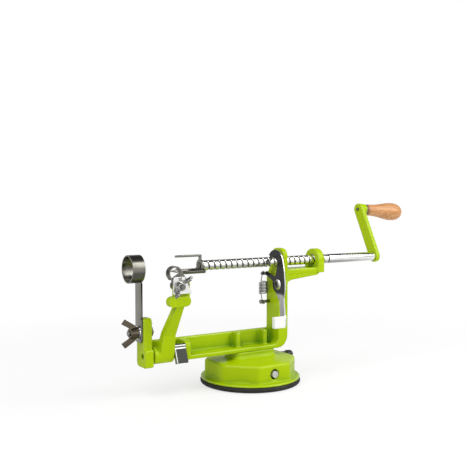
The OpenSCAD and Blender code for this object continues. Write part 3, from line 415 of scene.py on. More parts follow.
def latch_painted_highlight(finish):
    """Painted highlight on the rolled top of the latch and its left cheek."""
    low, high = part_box("arm_latch")
    roll = finish.axis(2).rise(high.z - 4.4 * MM, 0.5 * MM)
    return roll.math("MAXIMUM", finish.axis(0).fall(low.x + 1.5 * MM, 0.5 * MM))


def eyelet_chrome(colours):
    """The lever's pivot screw: painted shade in its socket and a painted highlight on a bright
    outer ring.
    """
    finish = Finish("eyelet_chrome", Metallic=1.0)
    cloud, radius = finish.cloud(300), finish.radius(LEVER_PIVOT.y, LEVER_PIVOT.z)
    # Painted shade inside the socket, painted highlight on the outer ring of the head, plain steel
    # between
    socket = radius.fall(2.55 * MM, 0.25 * MM)
    rim = radius.rise(3.8 * MM, 0.5 * MM) * (0.7 + cloud * 0.6)
    head = mix_colour(rim.clamped(), colours.steel, colours.chrome)
    finish.feed("Base Color", mix_colour(socket, head, dimmed(colours.dark_reflection_and_shade, 0.6)))
    finish.feed("Roughness", 0.34 + socket * 0.1 + cloud * 0.1)
    return finish.material


def pad_rubber(colours):
    """Matt moulded rubber with a fine grain and a little dust."""
    finish = Finish("pad_rubber", Specular_IOR_Level=0.35)
    dust = finish.noise(70, detail=4, roughness=0.7).above(0.5, gain=1.8)
    grain = finish.noise(1800, roughness=0.6)
    pale = tuple(0.02 + 2.1 * value for value in colours.rubber)
    return finish.made(mix_colour(dust, colours.rubber, pale), 0.52 + grain * 0.2,
                       grain, strength=0.2, depth=0.2 * MM)


def moulded_plastic(name, base, roughness):
    """Smooth injection moulding with a light sparkle of texture."""
    finish = Finish(name, IOR=1.49)
    cloud, texture = finish.noise(120), finish.noise(2200)
    return finish.made(mix_colour(cloud * 0.5, base, dimmed(base, 0.86)), roughness + texture * 0.1,
                       texture, strength=0.06, depth=0.1 * MM)


def turned_wood(colours):
    """Varnished beech: long grain, short flecks and slow rings along the grip, and a painted shadow
    at its end by the crank's boss.
    """
    finish = Finish("turned_wood", Coat_Weight=0.3, Coat_Roughness=0.22)
    lean = JOINTS["grip_spin"]["axis"]
    turn = (0, math.atan2(lean[2], lean[0]), -math.atan2(lean[1], lean[0]))
    grain = finish.noise(1, detail=5, roughness=0.62, distortion=0.4,
                         vector=finish.stretched((26, 520, 520), turn))
    fleck = finish.noise(1, vector=finish.stretched((120, 1900, 1900), turn))
    ring = finish.noise(1, distortion=0.8, vector=finish.stretched((9, 130, 130), turn))
    growth = (ring * 34).math("SINE") * 0.5 + 0.5
    tone = (grain * 1.1 + growth * 0.35 - 0.42).clamped()
    wood = mix_colour(tone, colours.wood_light, colours.wood_dark)
    # Painted shadow: the first few millimetres of the grip, beside the crank's boss, are painted
    # dark
    collar = finish.axis(0).fall(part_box("handle_grip")[0].x + 3.2 * MM, 0.5 * MM) * 0.7
    wood = mix_colour(collar, wood, dimmed(colours.wood_dark, 0.45))
    wood = mix_colour(fleck.above(0.6, gain=6) * 0.55, wood, dimmed(colours.wood_dark, 0.6))
    return finish.made(wood, 0.4 + grain * 0.2,
                       grain * 0.7 + fleck * 0.3, strength=0.14, depth=0.3 * MM)


def mix_finishes(colours):
    """Makes every finish once."""
    even, ground = (500, 500, 500), (900, 900, 40)
    MATERIALS.update(
        lime=lime_enamel(colours),
        chrome=bright_chrome(colours),
        screw=screw_chrome(colours),
        blade=brushed_steel("ground_blade_steel", colours.steel, 0.2, ground),
        hardware=brushed_steel("zinc_hardware", colours.steel, 0.24, even),
        satin=brushed_steel("satin_chrome", colours.cap, 0.6, even),
        lever=lever_steel(colours),
        # Latch: dark painted reflection with a painted highlight on its roll and left cheek
        latch=bright_edged_plating("latch_plating_painted_reflection", colours.latch, colours.wire, latch_painted_highlight),
        bronzed=bright_edged_plating("bronzed_nut", colours.bronzed, colours.steel),
        wire=bright_edged_plating("spring_wire_plating", colours.wire, colours.wire),
        nut=bright_edged_plating("clamp_nut_plating", colours.nut, colours.chrome),
        eyelet=eyelet_chrome(colours),
        rubber=pad_rubber(colours),
        wood=turned_wood(colours),
        cap=moulded_plastic("white_cap_plastic", colours.cap, 0.3),
        black=moulded_plastic("black_grip_plastic", colours.black, 0.36),
    )


# Mesh tools


def new_object(name, data):
    """A linked object at the origin."""
    piece = bpy.data.objects.new(name, data)
    bpy.context.scene.collection.objects.link(piece)
    return piece


def written(form, mesh):
    """Writes a bmesh into a mesh and frees it."""
    form.to_mesh(mesh)
    form.free()
    return mesh


def cad_copy(name, node):
    """A new object with a CAD node's mesh, merged and with its flat faces made whole."""
    near, flat = 2e-6, math.radians(0.6)
    form = bmesh.new()
    form.from_mesh(frame["nodes"][node].data)
    bmesh.ops.remove_doubles(form, verts=form.verts, dist=near)
    bmesh.ops.dissolve_limit(form, angle_limit=flat, verts=form.verts, edges=form.edges)
    return new_object(name, written(form, bpy.data.meshes.new(name)))


def settle(piece):
    """Turns a piece and its modifiers into one plain mesh."""
    depsgraph = bpy.context.evaluated_depsgraph_get()
    depsgraph.update()
    mesh = bpy.data.meshes.new_from_object(piece.evaluated_get(depsgraph), depsgraph=depsgraph)
    mesh.name = piece.name
    old = piece.data
    piece.modifiers.clear()
    piece.data = mesh
    bpy.data.meshes.remove(old)
    if not mesh.polygons:
        raise RuntimeError(piece.name + " came out empty")
    return piece


def smooth(piece):
    """Smooth shading on every face."""
    for face in piece.data.polygons:
        face.use_smooth = True
    return piece


def shade(piece, sharp=40):
    """Smooth shading that keeps edges sharper than an angle in degrees."""
    smooth(piece).data.set_sharp_from_angle(angle=math.radians(sharp))
    return piece


def softened(piece, grain, passes):
    """Joins a piece's shells into one skin with every edge and corner softened."""
    skin = piece.modifiers.new("skin", "REMESH")
    skin.mode, skin.voxel_size, skin.adaptivity = "VOXEL", grain, 0.0
    soften = piece.modifiers.new("soften", "SMOOTH")
    soften.factor, soften.iterations = 0.5, passes
    return smooth(settle(piece))


def bevelled(name, width, node, segments):
    """A copy of a CAD node with its sharp edges bevelled."""
    sharp = math.radians(32)
    piece = smooth(cad_copy(name, node))
    edge = piece.modifiers.new("edge", "BEVEL")
    edge.width, edge.segments, edge.limit_method = width, segments, "ANGLE"
    edge.angle_limit, edge.harden_normals = sharp, False
    edge.use_clamp_overlap = True
    even = piece.modifiers.new("even", "WEIGHTED_NORMAL")
    even.keep_sharp = True
    return settle(piece)


def lathe(name, profile, place, segments=64):
    """A turned piece: the profile's points are distance along and radius, about local X."""
    on_axis = 1e-7
    form = bmesh.new()
    rings = []
    for along, radius in profile:
        angles = [TURN * i / segments for i in range(1 if radius < on_axis else segments)]
        rings.append([form.verts.new(place @ Vector((
            along, radius * math.cos(angle), radius * math.sin(angle)))) for angle in angles])
    for low, high in zip(rings, rings[1:] + rings[:1]):
        for i in range(segments):
            k = (i + 1) % segments
            corners = [low[i % len(low)], low[k % len(low)],
                       high[k % len(high)], high[i % len(high)]]
            unique = list(dict.fromkeys(corners))
            if len(unique) > 2:
                form.faces.new(unique)
    bmesh.ops.recalc_face_normals(form, faces=form.faces)
    return shade(new_object(name, written(form, bpy.data.meshes.new(name))))


def rounded_profile(points, radius, steps=3):
    """Rounds the outer corners of a closed turned profile by short arcs."""
    on_axis, least, share = 1e-7, 1e-6, 0.45
    out = []
    for i, point in enumerate(points):
        here = Vector(point)
        before = Vector(points[i - 1]) - here
        after = Vector(points[(i + 1) % len(points)]) - here
        cut = min(radius, share * before.length, share * after.length)
        if here.y < on_axis or cut < least:
            out.append((here.x, here.y))
            continue
        start, end = here + before.normalized() * cut, here + after.normalized() * cut
        for k in range(steps + 1):
            t = k / steps
            p = start * (1 - t) ** 2 + here * 2 * t * (1 - t) + end * t ** 2
            out.append((p.x, p.y))
    return out


def along_axis(origin, direction):
    """A matrix whose local X runs along a direction."""
    turn = Vector((1, 0, 0)).rotation_difference(Vector(direction))
    return Matrix.Translation(Vector(origin)) @ turn.to_matrix().to_4x4()


def dress(piece, body, material, node):
    """Gives a piece its finish and its body, and hides the CAD node that it stands for."""
    piece.data.materials.clear()
    piece.data.materials.append(MATERIALS[material])
    for face in piece.data.polygons:
        face.material_index = 0
    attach(piece, body)
    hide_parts(node)


def trim(width, body, *nodes, slot="steel", material="hardware", segments=2):
    """Bevelled copies of CAD nodes that share a body and a finish."""
    for node in nodes:
        piece = bevelled(node + "_piece", width, node, segments)
        dress(piece, body, material, node)


def round_off(name, node, body, material, grain, passes):
    """A softened copy of a CAD node."""
    dress(softened(cad_copy(name, node), grain, passes), body, material, node)


def paint_node(node, material):
    """Gives a CAD node that stays in view its finish."""
    mesh = frame["nodes"][node].data
    if not mesh.materials:
        mesh.materials.append(MATERIALS[material])
    for index in range(len(mesh.materials)):
        mesh.materials[index] = MATERIALS[material]


# Geometry Nodes


def grow(piece, form, material, values):
    """Builds a tree whose inputs are the named values, runs it and keeps the plain mesh."""
    tree = bpy.data.node_groups.new(form.__name__, "GeometryNodeTree")
    tree.interface.new_socket("Geometry", in_out="OUTPUT", socket_type="NodeSocketGeometry")
    tree.interface.new_socket("Geometry", in_out="INPUT", socket_type="NodeSocketGeometry")
    kinds = {int: "NodeSocketInt", float: "NodeSocketFloat", tuple: "NodeSocketVector"}
    inputs = {label: tree.interface.new_socket(label, in_out="INPUT",
                                               socket_type=kinds[type(value)]).identifier
              for label, value in values.items()}
    source = tree.nodes.new("NodeGroupInput")
    at = {socket.name: Link(tree, socket) for socket in source.outputs if socket.name}
    whole = Link.node(tree, "GeometryNodeRealizeInstances", {0: form(tree, at)})
    painted = Link.node(tree, "GeometryNodeSetMaterial",
                        {"Geometry": whole, "Material": MATERIALS[material]})
    sink = tree.nodes.new("NodeGroupOutput")
    tree.links.new(painted.socket, sink.inputs[0])
    maker = piece.modifiers.new(tree.name, "NODES")
    maker.node_group = tree
    for label, identifier in inputs.items():
        maker[identifier] = values[label]
    return settle(piece)


def helical_thread(tree, at):
    """A turned rod whose radius follows a helical groove, with plain ends."""
    sheet = Link.node(tree, "GeometryNodeMeshGrid", {
        "Size X": at["Rod End"] - at["Rod Start"], "Size Y": TURN,
        "Vertices X": at["Rows"], "Vertices Y": at["Around"]})
    place = Link.node(tree, "GeometryNodeInputPosition")
    x, angle, quarter = place.part(0) + (at["Rod Start"] + at["Rod End"]) / 2, place.part(1), 0.25
    wave = x - at["Groove Place"] - at["Pitch"] * (angle / TURN - quarter)
    off = wave.math("PINGPONG", at["Pitch"] / 2)
    cut = off.fall(at["Groove Width"] / 2, at["Groove Width"] / 4)
    crest = at["Crest Radius"] - at["Groove Depth"] * cut
    chamfer = at["Core Radius"] + (x - at["Thread Start"]) * at["Chamfer Slope"]
    inside = (x > at["Thread Start"]) * (x < at["Thread End"])
    ribbed = crest.math("MINIMUM", chamfer) * inside
    core = (x > at["Thread Start"]) * (x < at["Core End"])
    collar = (x > at["Collar Start"]) * (x < at["Collar End"])
    plain = (at["Spigot Radius"] + core * (at["Core Radius"] - at["Spigot Radius"])
             + collar * (at["Collar Radius"] - at["Core Radius"]))
    radius = plain.math("MAXIMUM", ribbed)
    point = Link.node(tree, "ShaderNodeCombineXYZ", {
        0: x, 1: radius * angle.math("COSINE"),
        2: at["Axis Height"] + radius * angle.math("SINE")})
    rod = Link.node(tree, "GeometryNodeSetPosition", {"Geometry": sheet, "Position": point})
    return Link.node(tree, "GeometryNodeMergeByDistance", {"Geometry": rod, "Distance": 1e-6})


def round_wire(tree, at):
    """A round wire along the edges of a path."""
    path = Link.node(tree, "GeometryNodeMeshToCurve", {0: at["Geometry"]})
    ring = Link.node(tree, "GeometryNodeCurvePrimitiveCircle", {
        "Resolution": at["Sides"], "Radius": at["Wire Radius"]}, mode="RADIUS")
    wire = Link.node(tree, "GeometryNodeCurveToMesh", {
        "Curve": path, "Profile Curve": ring, "Fill Caps": True})
    return Link.node(tree, "GeometryNodeSetShadeSmooth", {"Geometry": wire})


def turned_copies(tree, at):
    """Equal copies of a form, each turned about an X axis further than the last."""
    row = Link.node(tree, "GeometryNodeMeshLine", {
        "Count": at["Count"], "Start Location": at["Axis"], "Offset": (0, 0, 0)})
    index = Link.node(tree, "GeometryNodeInputIndex")
    turn = Link.node(tree, "ShaderNodeCombineXYZ", {0: index * at["Turn"]})
    return Link.node(tree, "GeometryNodeInstanceOnPoints", {
        "Points": row, "Instance": at["Geometry"], "Rotation": turn})


def path_object(name, points):
    """An object of bare edges through points."""
    mesh = bpy.data.meshes.new(name)
    mesh.from_pydata(points, [(i, i + 1) for i in range(len(points) - 1)], [])
    return new_object(name, mesh)


# Operators


class PEELER_OT_castings(bpy.types.Operator):
    """Rounds and paints the frame, base cover, peeling arm and crank"""
    bl_idname = "peeler.castings"
    bl_label = "Castings"

    def execute(self, context):
        sizes = context.scene.peeler_sizes
        coarse, fine = sizes.cast_grain, sizes.arm_grain
        for node, body, grain in (("frame", "frame", coarse), ("base_cover", "frame", coarse),
                                  ("peel_arm", "peel_arm", fine), ("crank_arm", "shaft", coarse)):
            round_off(node + "_casting", node, body, "lime", grain, sizes.cast_passes)
        return {"FINISHED"}


class PEELER_OT_suction_base(bpy.types.Operator):
    """Makes the rubber pad, the suction lever and the parts inside the cover"""
    bl_idname = "peeler.suction_base"
    bl_label = "Suction base"

    def execute(self, context):
        sizes = context.scene.peeler_sizes
        dress(self.pad(), "frame", "rubber", "suction_pad")
        trim(sizes.turned_bevel, "cam", "cam_shaft", slot="chrome", material="satin")
        trim(sizes.turned_bevel, "cam", "suction_lever")
        trim(sizes.knob_bevel, "cam", "lever_grip", slot="black_plastic", material="black",
             segments=3)
        for node in ("suction_stud", "base_screws", "base_washers"):
            paint_node(node, "hardware")
        return {"FINISHED"}

    @staticmethod
    def pad():
        """The rubber disc with a half-round rim and a pocket for the stud."""
        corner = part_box("suction_pad")[1]
        edge, top, half, steps = corner.x, corner.z, corner.z / 2, 12
        flat, pocket, floor = edge - 2.6 * MM, 10.3 * MM, 2.5 * MM
        angles = [math.pi * i / steps for i in range(1, steps)]
        rim = [(half - half * math.cos(a), edge - half + half * math.sin(a)) for a in angles]
        profile = [(0, 0), (0, flat), *rim, (top, flat), (top, pocket), (floor, pocket), (floor, 0)]
        return lathe("suction_pad_rubber", profile, along_axis((0, 0, 0), (0, 0, 1)),
                     segments=128)


class PEELER_OT_feed_screw(bpy.types.Operator):
    """Makes the threaded screw, its sleeve and the fork"""
    bl_idname = "peeler.feed_screw"
    bl_label = "Feed screw"

    def execute(self, context):
        sizes = context.scene.peeler_sizes
        relief, shoulder, play, rounding = 0.1 * MM, 0.6 * MM, 0.05 * MM, 0.5 * MM
        core = CREST_R - sizes.groove_depth - relief
        spigot = core - shoulder
        dress(self.screw(sizes, core, spigot), "shaft", "screw", "feed_screw")
        length, bore = SLEEVE_HIGH.x - SLEEVE_LOW.x, core + play
        tube = [(0, bore), (0, CREST_R), (length, CREST_R), (length, bore)]
        sleeve = lathe("shaft_sleeve_tube", rounded_profile(tube, rounding),
                       along_axis((SLEEVE_LOW.x, 0, AXIS_H), (1, 0, 0)))
        dress(sleeve, "sleeve", "chrome", "shaft_sleeve")
        dress(self.fork(sizes, spigot), "shaft", "blade", "fork")
        return {"FINISHED"}

    @staticmethod
    def screw(sizes, core, spigot):
        """The threaded rod, whose groove meets the release lever's tooth at rest."""
        low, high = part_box("feed_screw")
        thread_end = SLEEVE_LOW.x - 3 * MM
        screw = path_object("feed_screw_thread", [(0, 0, 0), (0, 0, MM)])
        grow(screw, helical_thread, "screw", {
            "Rod Start": low.x, "Rod End": high.x, "Thread Start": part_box("fork")[1].x,
            "Thread End": thread_end, "Collar Start": thread_end - 1 * MM,
            "Collar End": SLEEVE_LOW.x - 1.3 * MM, "Core End": SLEEVE_HIGH.x + 0.2 * MM,
            "Pitch": sizes.pitch, "Crest Radius": CREST_R, "Groove Depth": sizes.groove_depth,
            "Groove Width": sizes.groove_width, "Groove Place": LEVER_BACK - LEVER_SHEET / 2,
            "Core Radius": core, "Spigot Radius": spigot, "Collar Radius": CREST_R - 0.3 * MM,
            "Chamfer Slope": 1.2, "Axis Height": AXIS_H, "Rows": 760, "Around": 49})
        form = bmesh.new()
        form.from_mesh(screw.data)
        rims = [edge for edge in form.edges if edge.is_boundary]
        bmesh.ops.holes_fill(form, edges=rims, sides=0)
        bmesh.ops.recalc_face_normals(form, faces=form.faces)
        written(form, screw.data)
        return shade(screw, sharp=50)

    @staticmethod
    def fork(sizes, bore):
        """One arm with its pointed prong, copied three times about the screw, and the hub."""
        low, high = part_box("fork")
        reach, half, sheet = high.z - AXIS_H, sizes.prong_width / 2, sizes.fork_sheet
        tip, root = low.x - high.x, -sheet / 2
        point = tip + 2 * sizes.prong_width
        bar = [(-sheet, -half), (0, -half), (0, half), (-sheet, half)]
        prong = [(root, -half), (root, half), (point, half), (tip, 0), (point, -half)]
        form = bmesh.new()
        for outline, foot, rise in ((bar, CREST_R, reach - CREST_R), (prong, reach - sheet, sheet)):
            base, top = ([form.verts.new((high.x + x, y, z)) for x, y in outline]
                         for z in (foot, foot + rise))
            form.faces.new(base)
            form.faces.new(top)
            for i in range(len(base)):
                k = (i + 1) % len(base)
                form.faces.new((base[i], base[k], top[k], top[i]))
        bmesh.ops.recalc_face_normals(form, faces=form.faces)
        fork = new_object("fork_prongs", written(form, bpy.data.meshes.new("fork_prongs")))
        grow(fork, turned_copies, "blade", {"Count": 3, "Turn": TURN / 3, "Axis": (0, 0, AXIS_H)})
        rim, rounding = sizes.fork_hub / 2, 0.3 * MM
        plate = rounded_profile([(0, bore), (0, rim), (sheet, rim), (sheet, bore)], rounding)
        hub = lathe("fork_hub", plate, along_axis((high.x - sheet, 0, AXIS_H), (1, 0, 0)))
        form = bmesh.new()
        for piece in (fork, hub):
            form.from_mesh(piece.data)
        written(form, fork.data)
        bpy.data.objects.remove(hub)
        return softened(fork, sizes.sheet_grain, passes=2)


class PEELER_OT_handle(bpy.types.Operator):
    """Makes the wooden grip and its spindle"""
    bl_idname = "peeler.handle"
    bl_label = "Handle"

    def execute(self, context):
        sizes = context.scene.peeler_sizes
        dress(self.grip(sizes), "grip", "wood", "handle_grip")
        trim(sizes.turned_bevel, "shaft", "crank_pin", "handle_spindle", "handle_washer")
        return {"FINISHED"}

    @staticmethod
    def grip(sizes):
        """The turned grip: a collar, a slim neck, a swelling and a rounded end with a hole."""
        joint = JOINTS["grip_spin"]
        origin, direction = Vector(joint["pos_m"]), Vector(joint["axis"]).normalized()
        corners = frame["nodes"]["handle_grip"].data.vertices
        reach = [(corner.co - origin).dot(direction) for corner in corners]
        start, length = min(reach), max(reach) - min(reach)
        neck, swell = sizes.grip_neck / 2, sizes.grip_swell / 2
        collar_end, widest, end_length, steps = 0.1, 0.74, 0.3, 60
        lip, flare, neck_curve, end_curve = 0.5 * MM, 5 * MM, 1.25, 2.6

        def radius(t):
            if t < collar_end:
                return neck - lip + flare * t
            if t < widest:
                s = ((t - collar_end) / (widest - collar_end)) ** neck_curve
                return neck + (swell - neck) * s * s * (3 - 2 * s)
            return swell * math.sqrt(1 - ((t - widest) / end_length) ** end_curve)

        spindle, play, hole, depth, wall = 3 * MM, 0.05 * MM, 5 * MM, 6 * MM, 0.2 * MM
        bore = spindle + play
        rounded = [(0, radius(0) - 0.6 * MM), (0.25 * MM, radius(0) - 0.1 * MM)]
        side = [(length * i / steps, radius(i / steps)) for i in range(1, steps)]
        end = [(length, max(radius(1), hole + wall)), (length, hole)]
        inside = [(length - depth, hole), (length - depth, bore)]
        place = along_axis(origin + direction * start, direction)
        profile = [(0, bore)] + rounded + side + end + inside
        return lathe("handle_grip_wood", profile, place, segments=72)


class PEELER_OT_release_lever(bpy.types.Operator):
    """Makes the release lever with its cap, screw, washer and peg"""
    bl_idname = "peeler.release_lever"
    bl_label = "Release lever"

    def execute(self, context):
        sizes = context.scene.peeler_sizes
        round_off("release_lever_plate", "release_lever", "release_lever", "lever",
                  sizes.sheet_grain, passes=7)
        cap = bevelled("thumb_cap_moulding", sizes.cap_bevel, "thumb_cap", segments=4)
        dress(cap, "release_lever", "cap", "thumb_cap")
        dress(self.screw(sizes), "frame", "eyelet", "lever_screw")
        trim(sizes.sheet_bevel, "frame", "lever_washer", "spring_peg")
        return {"FINISHED"}

    @staticmethod
    def screw(sizes):
        """The pivot screw: a plain shank and a domed head with a round socket."""
        low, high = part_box("lever_screw")
        rod, reach, head = sizes.lever_pivot / 2, high.x - low.x, (high.z - low.z) / 2
        dome, socket, depth, rise, steps = 6.6 * MM, head / 2, 0.9 * MM, 2.245 * MM, 8
        foot, floor = reach - rise, reach - depth
        centre = reach - math.sqrt(dome ** 2 - socket ** 2)
        rim = [head + (socket - head) * i / steps for i in range(steps + 1)]
        profile = [(0, 0), (0, rod), (foot, rod), (foot, head)]
        profile += [(centre + math.sqrt(dome ** 2 - radius ** 2), radius) for radius in rim]
        profile += [(floor, socket), (floor, 0)]
        place = along_axis((high.x, LEVER_PIVOT.y, LEVER_PIVOT.z), (-1, 0, 0))
        return lathe("lever_screw_piece", rounded_profile(profile, sizes.turned_bevel), place)


class PEELER_OT_springs(bpy.types.Operator):
    """Winds the release lever's return spring and the peeling arm's torsion spring"""
    bl_idname = "peeler.springs"
    bl_label = "Springs"

    def execute(self, context):
        sizes = context.scene.peeler_sizes
        self.return_spring(sizes)
        self.arm_spring(sizes)
        return {"FINISHED"}

    @staticmethod
    def coil(radius, pitch, turns, first=0.0, steps=28):
        """Points of a coil: distance along its axis and two places across it."""
        for i in range(int(turns * steps) + 1):
            angle = TURN * (first + i / steps)
            yield pitch * i / steps, radius * math.cos(angle), radius * math.sin(angle)

    @staticmethod
    def wind(name, points, gauge):
        """A spring of round wire through points."""
        return grow(path_object(name, points), round_wire, "wire",
                    {"Wire Radius": gauge / 2, "Sides": 12})

    def return_spring(self, sizes):
        """An upright coil with an eye at each end."""
        low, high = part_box("release_spring")
        middle = (low + high) / 2
        gauge, turns, hook, gap = sizes.spring_wire, sizes.spring_turns, 2.3 * MM, 0.5 * MM
        radius, pitch = (high.x - low.x - gauge) / 2, gauge + gap
        foot, head = low.z + hook + gauge / 2, high.z - hook - gauge / 2
        bottom = (foot + head - turns * pitch) / 2

        def eye(height, first, last):
            angles = [math.radians(degrees) for degrees in range(first, last + 1, 15)]
            return [(middle.x, middle.y + hook * math.cos(a), height + hook * math.sin(a))
                    for a in angles]

        points = eye(foot, 150, 390)
        points += [(middle.x + x, middle.y + y, bottom + rise)
                   for rise, x, y in self.coil(radius, pitch, turns, first=0.25)]
        points += eye(head, -30, 210)
        spring = self.wind("release_spring_wire", points, gauge)
        dress(spring, "frame", "wire", "release_spring")
        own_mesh(spring)

    def arm_spring(self, sizes):
        """A torsion coil round the arm's pin, with two straight tails."""
        pin_low, pin_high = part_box("arm_pivot_pin")
        low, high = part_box("arm_spring")
        across, up = (pin_low.y + pin_high.y) / 2, (pin_low.z + pin_high.z) / 2
        radius, turns, gap = 4.7 * MM, 3.5, 0.45 * MM
        pitch = sizes.torsion_wire + gap
        start = (low.x + high.x - turns * pitch) / 2
        end = start + pitch * turns
        points = [(start, across + radius, up - drop) for drop in (6 * MM, 3 * MM)]
        points += [(start + along, across + y, up + z)
                   for along, y, z in self.coil(radius, pitch, turns)]
        points += [(end, across - radius, up - drop) for drop in (2 * MM, 4.02 * MM)]
        spring = self.wind("arm_spring_wire", points, sizes.torsion_wire)
        dress(spring, "frame", "wire", "arm_spring")


class PEELER_OT_peeling_head(bpy.types.Operator):
    """Makes the peeling blade with its clamp and wing nut, the pivot pin and the latch"""
    bl_idname = "peeler.peeling_head"
    bl_label = "Peeling head"

    def execute(self, context):
        sizes = context.scene.peeler_sizes
        trim(sizes.turned_bevel, "frame", "arm_pivot_pin")
        trim(sizes.sheet_bevel, "frame", "pin_clip")
        trim(sizes.sheet_bevel, "peel_blade", "peel_blade", material="blade")
        trim(sizes.turned_bevel, "peel_arm", "blade_clamp", slot="chrome", material="chrome")
        trim(sizes.turned_bevel, "peel_arm", "clamp_bolt")
        # The latch carries a dark painted reflection and a painted highlight on its roll and left
        # cheek
        round_off("arm_latch_plate", "arm_latch", "arm_latch", "latch",
                  sizes.sheet_grain, passes=3)
        round_off("clamp_wing_nut_casting", "clamp_wing_nut", "clamp_nut", "nut",
                  sizes.nut_grain, passes=4)
        return {"FINISHED"}


class PEELER_OT_slicer(bpy.types.Operator):
    """Makes the slicing and coring blade with its bolt, washer and wing nut"""
    bl_idname = "peeler.slicer"
    bl_label = "Slicer"

    def execute(self, context):
        sizes = context.scene.peeler_sizes
        trim(sizes.sheet_bevel, "slicer", "slicer_blade", material="blade")
        trim(sizes.sheet_bevel, "frame", "slicer_bolt")
        trim(sizes.sheet_bevel, "slicer", "slicer_washer", slot="chrome", material="chrome")
        # The slicer's wing nut carries a painted brown reflection
        round_off("slicer_wing_nut_casting", "slicer_wing_nut", "slicer_nut", "bronzed",
                  sizes.nut_grain, passes=4)
        return {"FINISHED"}


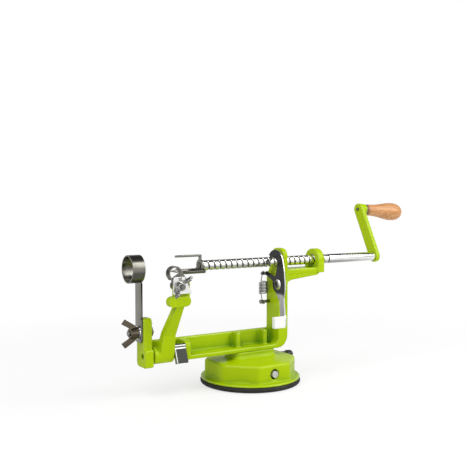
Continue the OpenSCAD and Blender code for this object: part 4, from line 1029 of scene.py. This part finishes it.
class PEELER_OT_stage(bpy.types.Operator):
    """Sets the camera, the floor and the light"""
    bl_idname = "peeler.stage"
    bl_label = "Stage"

    def execute(self, context):
        scene, stage = context.scene, context.scene.peeler_stage
        scene.view_settings.view_transform = "Standard"
        lens = bpy.data.cameras.new("camera")
        lens.lens, lens.sensor_width = stage.lens, 36
        lens.clip_start, lens.clip_end = 0.01, 50
        camera = new_object("camera", lens)
        camera.location = stage.camera_place
        camera.rotation_euler = Euler((math.pi / 2 - stage.camera_dip, 0, -stage.camera_turn))
        scene.camera = camera
        self.floor()
        self.lamp("key_light", stage.key_power, size=0.8,
                  place=(0.65, -0.7, 0.8), target=(0, 0, 0.08))
        self.lamp("fill_light", stage.fill_power, size=0.7,
                  place=(-0.7, -0.25, 1.2), target=(0, 0, 0.1))
        self.sky(scene, stage.sky_level, stage.camera_turn)
        return {"FINISHED"}

    @staticmethod
    def lamp(name, power, size, place, target):
        """A square soft light that points at a target."""
        light = bpy.data.lights.new(name, "AREA")
        light.size, light.energy = size, power
        lamp = new_object(name, light)
        lamp.location = place
        aim = Vector(target) - Vector(place)
        lamp.rotation_euler = aim.to_track_quat("-Z", "Y").to_euler()

    @staticmethod
    def seen(tree):
        """1 for what the camera sees straight, and 1 for what it sees in metal or glass."""
        path = tree.nodes.new("ShaderNodeLightPath")
        straight, metal, glass = (Link(tree, path.outputs[name]) for name in
                                  ("Is Camera Ray", "Is Glossy Ray", "Is Transmission Ray"))
        return straight, metal.math("MAXIMUM", glass)

    @staticmethod
    def close_shader(tree, factor, first, second, kind):
        """Mixes two shaders into the tree's output."""
        both = Link.node(tree, "ShaderNodeMixShader", {0: factor, 1: first, 2: second})
        sink = tree.nodes.new(kind)
        tree.links.new(both.socket, sink.inputs["Surface"])

    def floor(self):
        """A pale floor that takes the shadow near the object and is white farther out."""
        half, level, near, shadow_fade, mirror_fade = 6.0, -0.3 * MM, 0.2, 0.35, 0.15
        whiteness, dark = 0.68, 0.42
        mesh = bpy.data.meshes.new("floor")
        mesh.from_pydata([(-half, -half, level), (half, -half, level), (half, half, level),
                          (-half, half, level)], [], [(0, 1, 2, 3)])
        ground = new_object("floor", mesh)
        material = bpy.data.materials.new("pale_floor")
        material.use_nodes = True
        tree = material.node_tree
        tree.nodes.clear()
        place = Link.node(tree, "ShaderNodeTexCoord", output=3)
        distance = Link.node(tree, "ShaderNodeVectorMath", {0: place}, output=1,
                             operation="LENGTH")
        straight, mirrored = self.seen(tree)
        lit = straight * (distance.rise(near, shadow_fade) * (1 - whiteness) + whiteness)
        paint = Link.node(tree, "ShaderNodeBsdfDiffuse", {"Color": (0.92, 0.92, 0.92, 1)})
        close = mirrored * (1 - distance.rise(near, mirror_fade))
        glow = Link.node(tree, "ShaderNodeEmission", {
            "Color": mix_colour(close, (1, 1, 1), (dark, dark, dark)), "Strength": 1.0})
        self.close_shader(tree, lit.math("MAXIMUM", mirrored), paint, glow,
                          "ShaderNodeOutputMaterial")
        mesh.materials.append(material)

    def sky(self, scene, level, turn):
        """White behind the object, soft all-round light, and pale walls for metal to mirror."""
        scene.world = bpy.data.worlds.new("studio")
        scene.world.use_nodes = True
        tree = scene.world.node_tree
        tree.nodes.clear()
        straight, mirrored = self.seen(tree)
        way = Link.node(tree, "ShaderNodeTexCoord")
        behind = (math.sin(turn), math.cos(turn), 0)
        back = Link.node(tree, "ShaderNodeVectorMath", {0: way, 1: behind}, output=1,
                         operation="DOT_PRODUCT")
        far_wall, near_wall, roof = 0.5, 1.2, 0.08
        canopy = way.part(2).rise(0.42, 0.12)
        wall = far_wall + back.fall(-0.1, 0.3) * (near_wall - far_wall)
        strength = straight + (1 - straight) * (wall + canopy * (roof - wall))
        soft, white = (Link.node(tree, "ShaderNodeBackground", {
            "Color": (1, 1, 1, 1), "Strength": value}) for value in (level, strength))
        self.close_shader(tree, straight.math("MAXIMUM", mirrored), soft, white,
                          "ShaderNodeOutputWorld")


PIECES = (PEELER_OT_castings, PEELER_OT_suction_base, PEELER_OT_feed_screw, PEELER_OT_handle,
          PEELER_OT_release_lever, PEELER_OT_springs, PEELER_OT_peeling_head, PEELER_OT_slicer,
          PEELER_OT_stage)


class PEELER_PT_sidebar(bpy.types.Panel):
    """Lists the pieces in the sidebar"""
    bl_idname = "PEELER_PT_sidebar"
    bl_label = "Apple peeler"
    bl_space_type = "VIEW_3D"
    bl_region_type = "UI"
    bl_category = "Peeler"

    def draw(self, context):
        for piece in PIECES:
            self.layout.operator(piece.bl_idname)


GROUPS = {"peeler_colours": PeelerColours, "peeler_sizes": PeelerSizes,
          "peeler_stage": PeelerStage}
CLASSES = (*GROUPS.values(), *PIECES, PEELER_PT_sidebar)


def register():
    """Adds the settings, operators and panel."""
    for part in CLASSES:
        bpy.utils.register_class(part)
    for name, group in GROUPS.items():
        setattr(bpy.types.Scene, name, PointerProperty(type=group))


def unregister():
    """Takes them out again."""
    for name in GROUPS:
        delattr(bpy.types.Scene, name)
    for part in reversed(CLASSES):
        bpy.utils.unregister_class(part)


def main():
    """Builds every piece."""
    register()
    mix_finishes(bpy.context.scene.peeler_colours)
    for piece in PIECES:
        group, name = piece.bl_idname.split(".")
        getattr(getattr(bpy.ops, group), name)()


if __name__ == "__main__":
    main()
